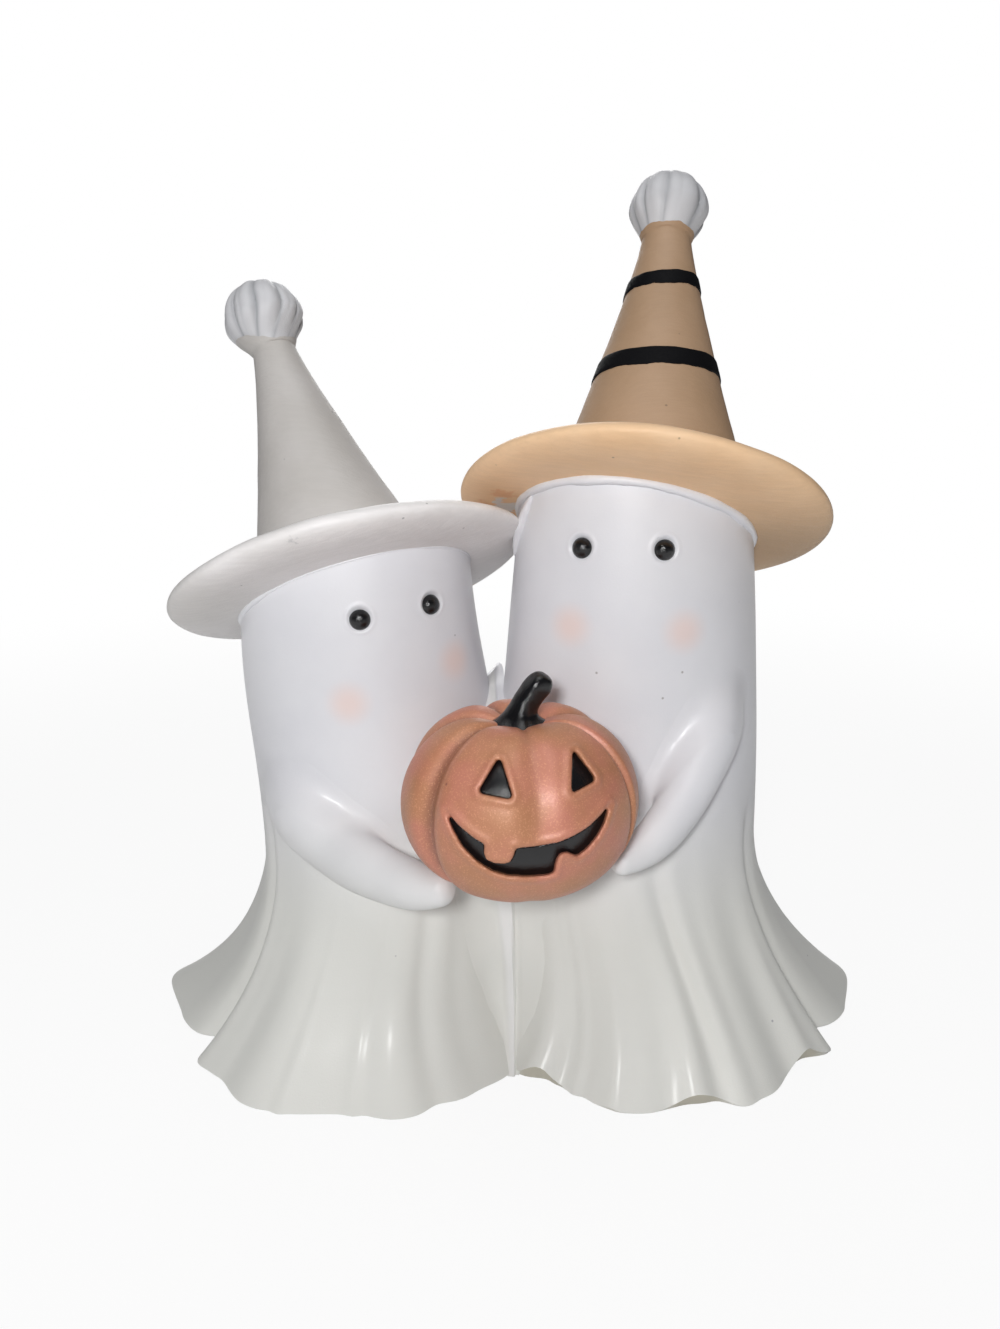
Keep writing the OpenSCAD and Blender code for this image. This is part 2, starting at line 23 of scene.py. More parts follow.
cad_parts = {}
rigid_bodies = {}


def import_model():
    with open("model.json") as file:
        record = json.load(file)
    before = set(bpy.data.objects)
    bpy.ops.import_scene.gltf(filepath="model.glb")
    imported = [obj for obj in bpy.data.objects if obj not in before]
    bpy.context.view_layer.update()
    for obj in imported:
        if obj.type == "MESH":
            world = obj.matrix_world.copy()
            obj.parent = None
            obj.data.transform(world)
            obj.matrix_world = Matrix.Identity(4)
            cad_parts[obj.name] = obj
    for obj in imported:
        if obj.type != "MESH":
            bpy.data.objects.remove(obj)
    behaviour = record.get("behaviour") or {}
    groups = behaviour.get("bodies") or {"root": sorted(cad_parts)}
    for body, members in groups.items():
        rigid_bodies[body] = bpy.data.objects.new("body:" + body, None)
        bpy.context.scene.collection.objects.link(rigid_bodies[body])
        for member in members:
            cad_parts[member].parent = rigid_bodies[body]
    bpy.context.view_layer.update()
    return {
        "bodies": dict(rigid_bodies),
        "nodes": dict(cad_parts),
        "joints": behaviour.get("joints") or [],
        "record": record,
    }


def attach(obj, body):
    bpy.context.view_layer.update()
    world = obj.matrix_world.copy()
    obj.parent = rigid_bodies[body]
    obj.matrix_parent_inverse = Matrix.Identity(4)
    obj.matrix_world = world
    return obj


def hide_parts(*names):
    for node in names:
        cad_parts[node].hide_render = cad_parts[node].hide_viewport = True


log = logging.getLogger("ghosts")

MM = 0.001
BODY = "root"

Form = bmesh.types.BMesh
Piece = bpy.types.Object
Socket = bpy.types.NodeSocket
Outline = Sequence[tuple[float, float]]
Rows = Sequence[tuple[float, ...]]
Place = Callable[[float, float, float], Vector]
Triple = tuple[float, float, float]


def mix(a: float, b: float, share: float) -> float:
    """Returns the value at a share of the way from a to b."""
    return a + (b - a) * share


def clamp(value: float) -> float:
    """Returns the value held between 0 and 1."""
    return min(1.0, max(0.0, value))


def ease(share: float) -> float:
    """Returns a share that starts and ends its run smoothly."""
    share = clamp(share)
    return share * share * (3 - 2 * share)


def bell(distance: float, width: float) -> float:
    """Returns 1 at no distance, falling smoothly to nothing past the width."""
    return math.exp(-((distance / width) ** 2))


def turn_between(a: float, b: float) -> float:
    """Returns the signed turn from angle b to angle a, the short way."""
    return (a - b + 180) % 360 - 180


def outward(angle: float) -> Vector:
    """Returns the level direction at an angle from the front."""
    turn = math.radians(angle)
    return Vector((math.sin(turn), -math.cos(turn), 0))


def wander(point: Vector, size: float, seed: float = 0.0) -> float:
    """Returns smooth noise from -1 to 1 with features of about a size."""
    return noise.noise(point / size + Vector((seed, seed * 1.7, -seed)))


def along(rows: Rows, share: float) -> list[float]:
    """Reads a smooth curve through the rows of a table.

    Args:
        rows: points of the curve, each with the same number of values.
        share: how far along the run, from 0 to 1.

    Returns:
        The values there.
    """
    last = len(rows) - 2
    k = min(int(share * (last + 1)), last)
    f = share * (last + 1) - k
    values = []
    for i in range(len(rows[0])):
        b, c = rows[k][i], rows[k + 1][i]
        a = rows[k - 1][i] if k else 2 * b - c
        d = rows[k + 2][i] if k < last else 2 * c - b
        bend = (2 * a - 5 * b + 4 * c - d) * f**2 + (3 * b - a - 3 * c + d) * f**3
        values.append(0.5 * (2 * b + (c - a) * f + bend))
    return values


def joined(start: float, rise_start: float, end: float, rise_end: float, t: float) -> float:
    """Reads a curve that runs from one height and slope to another.

    Args:
        start: height at the start.
        rise_start: slope at the start, over the whole run.
        end: height at the end.
        rise_end: slope at the end, over the whole run.
        t: how far along the run, from 0 to 1.

    Returns:
        The height there.
    """
    return (
        (2 * t**3 - 3 * t**2 + 1) * start
        + (t**3 - 2 * t**2 + t) * rise_start
        + (3 * t**2 - 2 * t**3) * end
        + (t**3 - t**2) * rise_end
    )


def scale(form: Form, factor: float) -> None:
    """Makes a whole mesh larger or smaller about the origin."""
    bmesh.ops.scale(form, vec=(factor, factor, factor), verts=form.verts)


def soften(form: Form, verts: Sequence[bmesh.types.BMVert], passes: int) -> None:
    """Smooths some points of a mesh a number of times."""
    for _ in range(passes):
        bmesh.ops.smooth_vert(form, verts=verts, factor=0.5, use_axis_x=True, use_axis_y=True, use_axis_z=True)


def moulded(profile: Outline, steps: int, place: Place) -> Form:
    """Turns a profile once round Z and moves every point of the result to its place.

    Args:
        profile: radius and height of each point of the profile.
        steps: number of steps round the turn.
        place: gives a point from its angle, its radius and its height on the turned form.

    Returns:
        A closed mesh in millimetres.
    """
    form = bmesh.new()
    verts = [form.verts.new((0.0, -r, z)) for r, z in profile]
    edges = [form.edges.new(pair) for pair in zip(verts, verts[1:])]
    bmesh.ops.spin(
        form, geom=verts + edges, cent=(0, 0, 0), axis=(0, 0, 1), angle=math.tau, steps=steps, use_merge=True
    )
    bmesh.ops.remove_doubles(form, verts=form.verts, dist=1e-5)
    for vert in form.verts:
        x, y, z = vert.co
        vert.co = place(math.degrees(math.atan2(x, -y)), math.hypot(x, y), z)
    bmesh.ops.holes_fill(form, edges=[edge for edge in form.edges if edge.is_boundary], sides=0)
    bmesh.ops.recalc_face_normals(form, faces=form.faces)
    return form


def tube(path: Sequence[Vector], radii: Sequence[float], sides: int, across: Vector) -> Form:
    """Makes a closed tube of round sections.

    Args:
        path: centres of the sections.
        radii: radius of each section.
        sides: number of points round each section.
        across: a direction that the path never runs along.

    Returns:
        The tube's mesh in millimetres.
    """

    def place(angle: float, _radius: float, height: float) -> Vector:
        """Moves a point of an even column to one section.

        Args:
            angle: angle round the section.
            height: number of the section.

        Returns:
            The point on the tube.
        """
        k = round(height)
        run = (path[min(k + 1, len(path) - 1)] - path[max(k - 1, 0)]).normalized()
        u = run.cross(across).normalized()
        v = u.cross(run)
        turn = math.radians(angle)
        return path[k] + (u * math.cos(turn) + v * math.sin(turn)) * radii[k]

    return moulded([(1.0, float(k)) for k in range(len(path))], sides, place)


def piece_from(form: Form, name: str, sharp: float = 50.0) -> Piece:
    """Writes a mesh in millimetres to a smooth-shaded object in metres, with its place in its mesh.

    Args:
        form: the mesh, which is freed.
        name: the object's name.
        sharp: edges that bend more than this angle stay crisp.

    Returns:
        The new object, linked to the scene.
    """
    scale(form, MM)
    for face in form.faces:
        face.smooth = True
    mesh = bpy.data.meshes.new(name)
    form.to_mesh(mesh)
    form.free()
    mesh.set_sharp_from_angle(angle=math.radians(sharp))
    piece = bpy.data.objects.new(name, mesh)
    bpy.context.scene.collection.objects.link(piece)
    return piece


def copy_of(piece: Piece) -> Form:
    """Copies the mesh of a piece.

    Args:
        piece: the piece, which stays as it is.

    Returns:
        The copy in millimetres.
    """
    form = bmesh.new()
    form.from_mesh(piece.data)
    scale(form, 1 / MM)
    return form


def worked(piece: Piece) -> Piece:
    """Applies all the modifiers of a piece to its mesh.

    Args:
        piece: the piece to work on.

    Returns:
        The same piece.
    """
    bpy.context.view_layer.update()
    graph = bpy.context.evaluated_depsgraph_get()
    mesh = bpy.data.meshes.new_from_object(piece.evaluated_get(graph))
    old = piece.data
    piece.modifiers.clear()
    piece.data = mesh
    bpy.data.meshes.remove(old)
    return piece


def remeshed(piece: Piece, grain: float, passes: int) -> Piece:
    """Gives a piece an even mesh and softens it.

    Args:
        piece: the piece to work on.
        grain: side of the new faces.
        passes: number of smoothing passes.

    Returns:
        The same piece.
    """
    remesh = piece.modifiers.new("even", "REMESH")
    remesh.mode = "VOXEL"
    remesh.voxel_size = grain * MM
    remesh.use_smooth_shade = True
    worked(piece)
    form = bmesh.new()
    form.from_mesh(piece.data)
    soften(form, form.verts, passes)
    form.to_mesh(piece.data)
    form.free()
    return piece


class Cut(Enum):
    """What a cutting tool leaves of a piece."""

    AWAY = "DIFFERENCE"
    SHARED = "INTERSECT"


def cut(piece: Piece, tool: Piece, kind: Cut) -> Piece:
    """Cuts a piece with a tool.

    Args:
        piece: the piece to work on.
        tool: the object that cuts it, which stays.
        kind: whether the part inside the tool goes or is all that stays.

    Returns:
        The same piece.
    """
    boolean = piece.modifiers.new("cut", "BOOLEAN")
    boolean.operation = kind.value
    boolean.solver = "EXACT"
    boolean.object = tool
    return worked(piece)


def discard(*pieces: Piece) -> None:
    """Removes tools that were only there to shape other pieces."""
    for piece in pieces:
        bpy.data.objects.remove(piece)


def mark(piece: Piece, name: str, value: Callable[[Vector], float]) -> None:
    """Stores a value at each point of a piece, which its finish reads.

    Args:
        piece: the piece to mark.
        name: the attribute's name.
        value: gives the value from a point in millimetres.
    """
    marks = piece.data.attributes.new(name, "FLOAT", "POINT")
    for vert in piece.data.vertices:
        marks.data[vert.index].value = value(vert.co / MM)


class Side(Enum):
    """Which way a ghost's outer side looks along X."""

    SHORT = -1
    TALL = 1


@dataclass(frozen=True)
class Fold:
    """A ridge or crease that runs up a skirt from its hem."""

    hem_angle: float
    top_angle: float
    height: float
    width: float
    power: float = 1.2


@dataclass(frozen=True)
class GhostForm:
    """Form of one ghost's body.

    Angles round a ghost run from its front towards its outer side, and heights on it are shares of the
    crown's height. The hem's rows give an angle and how far the hem stands out there, the lifts' rows
    an angle, a height and a width, and those of eyes and blushes an angle and a height above the table.
    """

    side: Side
    foot_x: float
    waist_x: float
    head_x: float
    crown_h: float
    waist_r: float
    flare: float
    tilt_back: float
    tilt_out: float
    hem: Outline
    folds: tuple[Fold, ...]
    lifts: tuple[Triple, ...]
    eyes: Outline
    blushes: Outline

    head_r: float = 27.8
    hem_front_r: float = 47.5
    hem_side_r: float = 54.0
    skirt_h: float = 62.0
    seam_slope: float = math.tan(math.radians(3.4))
    waist_share: float = 0.42
    column_power: float = 1.4
    tilt_share: float = 0.45
    tilt_power: float = 1.6
    depth_share: float = 0.87
    trail_angle: float = 106.0
    trail_power: float = 6.0
    hem_power: float = 1.8
    uneven: float = 0.22
    uneven_size: float = 26.0

    def above_waist(self, share: float) -> float:
        """Returns how far a height is on its way from the waist to the crown."""
        return (share - self.waist_share) / (1 - self.waist_share)

    def axis(self, share: float) -> float:
        """Finds the body's axis.

        Args:
            share: height on the body.

        Returns:
            The axis's place along X.
        """
        if share < self.waist_share:
            reach = mix(self.foot_x, self.waist_x, ease(share / self.waist_share))
        else:
            reach = mix(self.waist_x, self.head_x, ease(self.above_waist(share)))
        return self.side.value * reach

    def hem_offset(self, angle: float) -> float:
        """Reads the table of the hem's turns.

        Args:
            angle: angle round the ghost.

        Returns:
            How far the hem stands out, or in where it is negative.
        """
        turns = self.hem
        angle = turns[0][0] + (angle - turns[0][0]) % 360
        k = max(i for i, (at, _) in enumerate(turns) if at <= angle)
        at, here = turns[k]
        upto, there = turns[k + 1] if k + 1 < len(turns) else (turns[0][0] + 360, turns[0][1])
        return mix(here, there, ease((angle - at) / (upto - at)))

    def lift(self, angle: float) -> float:
        """Returns the height of the hem's edge above the table at an angle."""
        return sum(height * bell(turn_between(angle, at), width) for at, height, width in self.lifts)

    def radius(self, angle: float, share: float) -> float:
        """Works out the body's radius from its column, its flare, its hem and its folds.

        Args:
            angle: angle round the ghost.
            share: height on the body.

        Returns:
            The distance from the axis to the skin.
        """
        low = max(0.0, 1 - share * self.crown_h / self.skirt_h)
        column = mix(self.waist_r, self.head_r, clamp(self.above_waist(share)) ** self.column_power)
        trail = max(0.0, math.cos(math.radians(angle - self.trail_angle))) ** self.trail_power
        hem = mix(self.hem_front_r, self.hem_side_r, trail)
        radius = mix(column, hem, low**self.flare) + self.hem_offset(angle) * low**self.hem_power
        for fold in self.folds:
            at = mix(fold.hem_angle, fold.top_angle, 1 - low)
            radius += fold.height * bell(turn_between(angle, at), fold.width) * low**fold.power
        return radius

    def held(self, x: float, z: float) -> float:
        """Returns X kept on the ghost's own side of the seam at a height above the table."""
        side = self.side.value
        return side * max(side * x, side * -z * self.seam_slope)

    def place(self, angle: float, share: float, radius: float, lift: float = 0.0) -> Vector:
        """Finds the point at a radius from the body's axis.

        Args:
            angle: angle round the ghost.
            share: height on the body.
            radius: distance from the axis.
            lift: height of the hem above the table there.

        Returns:
            The point, on the ghost's own side of the seam.
        """
        side = self.side.value
        turn = math.radians(angle)
        x = self.axis(share) + side * radius * math.sin(turn)
        y = -radius * math.cos(turn) * mix(1, self.depth_share, ease(2 * share))
        z = mix(lift, self.crown_h, share)
        tilt = clamp((share - self.tilt_share) / (1 - self.tilt_share)) ** self.tilt_power
        back, out = math.radians(self.tilt_back), math.radians(self.tilt_out)
        across = self.held(x, z) - self.axis(1)
        z += tilt * (-side * math.tan(out) / math.cos(back) * across - math.tan(back) * y)
        return Vector((self.held(x, z), y, z))

    def skin(self, angle: float, share: float, proud: float = 0.0, lift: float = 0.0) -> Vector:
        """Finds a point of the body's hand-smoothed outside.

        Args:
            angle: angle round the ghost.
            share: height on the body.
            proud: how far the point stands off the outside.
            lift: height of the hem above the table there.

        Returns:
            The point.
        """
        point = self.place(angle, share, self.radius(angle, share) + proud, lift)
        worn = wander(point, self.uneven_size, self.side.value * 3.0) * self.uneven * clamp(point.z / 20)
        return point + worn * outward(angle * self.side.value)

    def front(self, x: float, height: float) -> float:
        """Searches the front of the body for a place on it.

        Args:
            x: the place along X.
            height: its height above the table.

        Returns:
            Y of the skin there.
        """
        low, high = -100.0, 20.0
        for _ in range(26):
            angle = (low + high) / 2
            share = height / self.crown_h
            for _ in range(2):
                point = self.skin(angle, share)
                share += (height - point.z) / self.crown_h
            if self.side.value * (point.x - x) < 0:
                low = angle
            else:
                high = angle
        return point.y

    def skin_at(self, angle: float, height: float) -> Vector:
        """Searches the outside upwards at an angle.

        Args:
            angle: angle round the ghost.
            height: height above the table.

        Returns:
            The point where the outside reaches that height.
        """
        low, high = 0.02, 1.3
        for _ in range(24):
            middle = (low + high) / 2
            if self.skin(angle, middle).z < height:
                low = middle
            else:
                high = middle
        return self.skin(angle, low)

    def crown(self) -> Matrix:
        """Works out the tilted frame that carries the hat.

        Returns:
            The frame, whose origin is in the middle of the crown.
        """
        return (
            Matrix.Translation((self.axis(1), 0, self.crown_h))
            @ Matrix.Rotation(math.radians(-self.tilt_back), 4, "X")
            @ Matrix.Rotation(math.radians(self.side.value * self.tilt_out), 4, "Y")
        )


SHORT_FORM = GhostForm(
    side=Side.SHORT,
    foot_x=39.5,
    waist_x=33.0,
    head_x=39.0,
    crown_h=111.0,
    waist_r=31.6,
    flare=4.6,
    tilt_back=24.5,
    tilt_out=15.0,
    hem=(
        (-64, 2.0), (-46, 3.4), (-36, 2.3), (-20, 3.9), (2, 0.5), (24, 2.9), (42, 0.2), (54, -0.6), (62, -3.4),
        (78, -1.6), (99, 1.7), (114, -2.4), (132, 1.4), (147, -2.2), (162, 1.2), (177, -2.2), (192, 1.2),
        (210, -2.4), (228, 1.4), (246, -2.2), (264, 1.6), (280, -1.4),
    ),
    folds=(
        Fold(17.4, 15, 0.45, 1.8, 2.0), Fold(20.5, 18, -0.3, 2.2, 2.0), Fold(-2.5, -3, 0.45, 2.0, 1.8),
        Fold(-5.8, -6, -0.35, 2.4, 1.8), Fold(-13, -12, 0.4, 4.0, 2.5), Fold(30, 26, 0.4, 4.5, 2.0),
        Fold(40, 36, -0.4, 4.0, 2.0), Fold(-25, -21, -1.5, 4.2, 0.6), Fold(-34, -30, 0.7, 5.0, 0.8),
        Fold(60, 61, -4.4, 4.6, 0.7), Fold(52, 53, 1.4, 4.6, 0.8), Fold(98, 94, 1.2, 6.0, 0.8),
    ),
    lifts=(),
    eyes=((-7.5, 109.7), (-42.5, 111.9)),
    blushes=((2.0, 90.5), (-52.0, 98.0)),
)

TALL_FORM = GhostForm(
    side=Side.TALL,
    foot_x=38.0,
    waist_x=28.0,
    head_x=28.5,
    crown_h=127.0,
    waist_r=33.0,
    flare=3.5,
    tilt_back=27.0,
    tilt_out=9.0,
    hem=(
        (-62, 2.0), (-47, 3.6), (-36, 0.3), (-18, 2.0), (0, -1.4), (13, 0.4), (24, -1.2), (40, -4.1), (48, -3.4),
        (62, -1.2), (68, -3.8), (82, -1.2), (102, 1.4), (118, -2.4), (134, 1.4), (149, -2.2), (164, 1.2),
        (180, -2.4), (196, 1.4), (213, -2.2), (230, 1.4), (248, -2.4), (266, 1.6), (282, -1.4),
    ),
    folds=(
        Fold(-38, -36, 0.5, 2.0, 1.6), Fold(-31.5, -30, 0.5, 1.8, 1.6), Fold(-28, -27, -0.4, 2.2, 1.6),
        Fold(-19, -17, 0.45, 3.0, 1.8), Fold(-10, -8, 0.3, 4.0, 1.8), Fold(11, 5, -2.8, 4.6, 0.5),
        Fold(19, 13, 0.8, 4.0, 0.8), Fold(30, 26, 0.5, 6.0, 1.2), Fold(65, 60, -4.6, 4.8, 0.7),
        Fold(57, 52, 1.5, 5.0, 0.8), Fold(100, 96, 0.8, 6.0, 0.8),
    ),
    lifts=(
        (-42, 4.0, 5.0), (-20, 0.7, 2.6), (4, 3.6, 6.5), (47, 3.8, 6.0), (118, 3.0, 9.0), (149, 3.0, 9.0),
        (213, 3.0, 9.0), (248, 3.0, 9.0),
    ),
    eyes=((6.4, 125.2), (-30.7, 125.2)),
    blushes=((16.0, 107.0), (-33.4, 107.5)),
)


def opaque(color: Triple, factor: float = 1.0) -> tuple[float, float, float, float]:
    """Returns a colour made lighter or darker, with its alpha."""
    return (*(channel * factor for channel in color), 1.0)


class Graph:
    """Adds linked nodes to one node tree."""

    def __init__(self, tree: bpy.types.NodeTree) -> None:
        """Keeps the tree that the nodes go into."""
        self.tree = tree

    @classmethod
    def emptied(cls, owner: bpy.types.Material | bpy.types.World) -> Graph:
        """Clears the nodes of a material or world.

        Args:
            owner: the material or world.

        Returns:
            The graph of its tree.
        """
        owner.use_nodes = True
        owner.node_tree.nodes.clear()
        return cls(owner.node_tree)

    def node(self, kind: str, inputs: dict | None = None, **settings: object) -> bpy.types.Node:
        """Adds a node.

        Args:
            kind: the node's type without its ShaderNode prefix, or a full type name.
            inputs: a value or another node's output for each named or numbered input.
            settings: values of the node's own properties.

        Returns:
            The new node.
        """
        made = self.tree.nodes.new(kind if kind.startswith("NodeGroup") else "ShaderNode" + kind)
        for name, value in settings.items():
            setattr(made, name, value)
        for name, value in (inputs or {}).items():
            if isinstance(value, bpy.types.NodeSocket):
                self.tree.links.new(value, made.inputs[name])
            else:
                made.inputs[name].default_value = value
        return made

    def math(self, operation: str, a: object, b: object = 0.0) -> Socket:
        """Adds a Math node of two values and returns its result."""
        return self.node("Math", {0: a, 1: b}, operation=operation).outputs[0]

    def blend(self, factor: object, a: object, b: object, kind: str = "MIX") -> Socket:
        """Adds a node that mixes two colours and returns its result."""
        return self.node("Mix", {0: factor, 6: a, 7: b}, data_type="RGBA", blend_type=kind).outputs[2]

    def ranged(self, value: object, start: float, end: float, low: float = 0.0, high: float = 1.0) -> Socket:
        """Adds a node that maps start to low and end to high smoothly, and returns its result."""
        inputs = {"Value": value, "From Min": start, "From Max": end, "To Min": low, "To Max": high}
        return self.node("MapRange", inputs, interpolation_type="SMOOTHSTEP").outputs[0]

    def grey(self, value: Socket) -> Socket:
        """Adds a node that makes a grey colour of a value and returns its result."""
        return self.node("CombineColor", {0: value, 1: value, 2: value}).outputs[0]

    def marked(self, name: str) -> Socket:
        """Adds a node that reads a value stored on the mesh and returns its result."""
        return self.node("Attribute", attribute_name=name).outputs["Fac"]

    def height(self, where: Socket) -> Socket:
        """Adds a node that reads the height of a place and returns its result."""
        return self.node("SeparateXYZ", {0: where}).outputs["Z"]


class Effects:
    """Surface effects that several finishes share, each a node group that is built once."""

    def __init__(self) -> None:
        """Builds the groups."""
        self.mottle = self._mottle()
        self.strokes = self._strokes()
        self.specks = self._specks()

    @staticmethod
    def _group(name: str, inputs: Sequence[str], outputs: Sequence[str]) -> tuple[Graph, bpy.types.NodeOutputs]:
        """Starts a shader node group, whose sockets are numbers but for the one named Vector.

        Args:
            name: the group's name.
            inputs: names of its inputs.
            outputs: names of its outputs.

        Returns:
            Its graph, and what comes in by name.
        """
        tree = bpy.data.node_groups.new(name, "ShaderNodeTree")
        for way, labels in (("INPUT", inputs), ("OUTPUT", outputs)):
            for label in labels:
                kind = "NodeSocketVector" if label == "Vector" else "NodeSocketFloat"
                tree.interface.new_socket(label, in_out=way, socket_type=kind)
        graph = Graph(tree)
        return graph, graph.node("NodeGroupInput").outputs

    def _mottle(self) -> bpy.types.NodeTree:
        """Makes the slow tone changes of a dipped or sprayed coat, and the fine grain of its surface.

        Returns:
            The group.
        """
        graph, given = self._group("coat_mottle", ("Vector", "Size"), ("Tone", "Grain"))
        slow = graph.node("TexNoise", {"Vector": given["Vector"], "Scale": given["Size"], "Detail": 3.0})
        fine = graph.node(
            "TexNoise", {"Vector": given["Vector"], "Scale": 2600.0, "Detail": 3.0, "Roughness": 0.65}
        )
        tone = graph.ranged(slow.outputs[0], 0.3, 0.7)
        graph.node("NodeGroupOutput", {"Tone": tone, "Grain": fine.outputs[0]})
        return graph.tree

    def _strokes(self) -> bpy.types.NodeTree:
        """Makes the streaks that a brush leaves, drawn out along the vector's X axis.

        Returns:
            The group.
        """
        graph, given = self._group("brush_strokes", ("Vector", "Width"), ("Streak",))
        drawn = graph.node("Mapping", {"Vector": given["Vector"], "Scale": (0.14, 1.0, 1.0)}).outputs[0]
        streak = graph.node(
            "TexNoise", {"Vector": drawn, "Scale": given["Width"], "Detail": 4.0, "Distortion": 0.6}
        )
        graph.node("NodeGroupOutput", {"Streak": graph.ranged(streak.outputs[0], 0.3, 0.7)})
        return graph.tree

    def _specks(self) -> bpy.types.NodeTree:
        """Makes rare pin-sized dots, as pits and dark grains are.

        Returns:
            The group.
        """
        graph, given = self._group("pin_specks", ("Vector", "Size", "Share"), ("Mask",))
        cells = graph.node("TexVoronoi", {"Vector": given["Vector"], "Scale": given["Size"]}).outputs
        dot = graph.ranged(cells["Distance"], 0.16, 0.08)
        chance = graph.node("SeparateColor", {0: cells["Color"]}).outputs[0]
        rare = graph.math("LESS_THAN", chance, given["Share"])
        graph.node("NodeGroupOutput", {"Mask": graph.math("MULTIPLY", dot, rare)})
        return graph.tree


@dataclass(frozen=True)
class Spot:
    """A patch of another colour on a finish, with its place and size in metres."""

    at: Triple
    radius: float
    color: Triple
    strength: float = 0.42
    soft: float = 0.9
    ragged: float = 0.0


@dataclass(frozen=True)
class Finish:
    """A painted or glazed surface, and the record's slot that it belongs to."""

    name: str
    slot: str
    color: Triple
    drift: Triple
    roughness: float
    mottle_size: float = 60.0
    stroke_tone: float = 0.0
    stroke_size: float = 900.0
    speck_share: float = 0.03
    speck_tone: float = 0.55
    speck_size: float = 420.0
    bump: float = 0.06
    bump_depth: float = 0.0004
    metallic: float = 0.0
    coat: float = 0.0
    coat_roughness: float = 0.2
    specular: float = 0.5
    spots: tuple[Spot, ...] = ()

    def build(self, effects: Effects) -> bpy.types.Material:
        """Builds the material.

        Args:
            effects: the shared surface effects.

        Returns:
            The material, whose colour, roughness and relief vary over the surface.
        """
        material = bpy.data.materials.new(self.name)
        graph = Graph.emptied(material)
        where = graph.node("TexCoord").outputs["Object"]
        mottle = graph.node(
            "Group", {"Vector": where, "Size": self.mottle_size}, node_tree=effects.mottle
        ).outputs
        color = graph.blend(mottle["Tone"], opaque(self.color), opaque(self.drift))
        color = self.spotted(graph, where, self.painted(graph, where, color))
        relief = mottle["Grain"]
        if self.stroke_tone:
            turned = graph.node("Mapping", {"Vector": where}).outputs[0]
            streak = graph.node(
                "Group", {"Vector": turned, "Width": self.stroke_size}, node_tree=effects.strokes
            ).outputs["Streak"]
            tone = graph.ranged(streak, 0.0, 1.0, 1 - self.stroke_tone, 1 + self.stroke_tone)
            color = graph.blend(1.0, color, graph.grey(tone), "MULTIPLY")
            relief = graph.math("ADD", relief, streak)
        specks = graph.node(
            "Group", {"Vector": where, "Size": self.speck_size, "Share": self.speck_share},
            node_tree=effects.specks,
        ).outputs["Mask"]
        color = graph.blend(specks, color, opaque(self.color, self.speck_tone))
        relief = graph.math("SUBTRACT", relief, graph.math("MULTIPLY", specks, 2.0))
        bump = graph.node("Bump", {"Height": relief, "Strength": self.bump, "Distance": self.bump_depth})
        shader = graph.node(
            "BsdfPrincipled",
            {
                "Base Color": color,
                "Roughness": self.rough(graph, where, mottle["Grain"]),
                "Normal": bump.outputs[0],
                "Metallic": self.metallic,
                "Specular IOR Level": self.specular,
                "Coat Weight": self.coat,
                "Coat Roughness": self.coat_roughness,
            },
        )
        graph.node("OutputMaterial", {"Surface": shader.outputs[0]})
        return material

    def spotted(self, graph: Graph, where: Socket, color: Socket) -> Socket:
        """Adds the finish's patches, whose edges are soft or ragged.

        Args:
            graph: the material's graph.
            where: the place on the piece.
            color: the colour so far.

        Returns:
            The colour with the patches.
        """
        for spot in self.spots:
            away = graph.node("VectorMath", {0: where, 1: spot.at}, operation="DISTANCE").outputs["Value"]
            if spot.ragged:
                torn = graph.node("TexNoise", {"Vector": where, "Scale": 1.1 / spot.radius, "Detail": 4.0})
                reach = graph.ranged(torn.outputs["Fac"], 0.35, 0.65, 1 - spot.ragged, 1 + spot.ragged)
                away = graph.math("MULTIPLY", away, reach)
            mask = graph.ranged(away, spot.radius, spot.radius * (1 - spot.soft), 0.0, spot.strength)
            color = graph.blend(mask, color, opaque(spot.color))
        return color

    def painted(self, graph: Graph, where: Socket, color: Socket) -> Socket:
        """Returns the colour with what this finish paints over its ground."""
        return color

    def rough(self, graph: Graph, where: Socket, grain: Socket) -> Socket:
        """Returns the roughness, which varies with the grain."""
        return graph.ranged(grain, 0.3, 0.7, self.roughness * 0.85, self.roughness * 1.15)


@dataclass(frozen=True)
class TuftFinish(Finish):
    """White slip on the pompoms, a darker copy of the body's slip, with painted shade in their creases."""

    crease_shade_color: Triple = (0.3, 0.31, 0.33)

    def painted(self, graph: Graph, where: Socket, color: Socket) -> Socket:
        """Returns the slip's colour with painted shade in the creases."""
        # Painted shade: the creases turn grey.
        crease = graph.ranged(graph.marked("crease"), 0.1, 0.9, 0.0, 0.75)
        return graph.blend(crease, color, opaque(self.crease_shade_color))


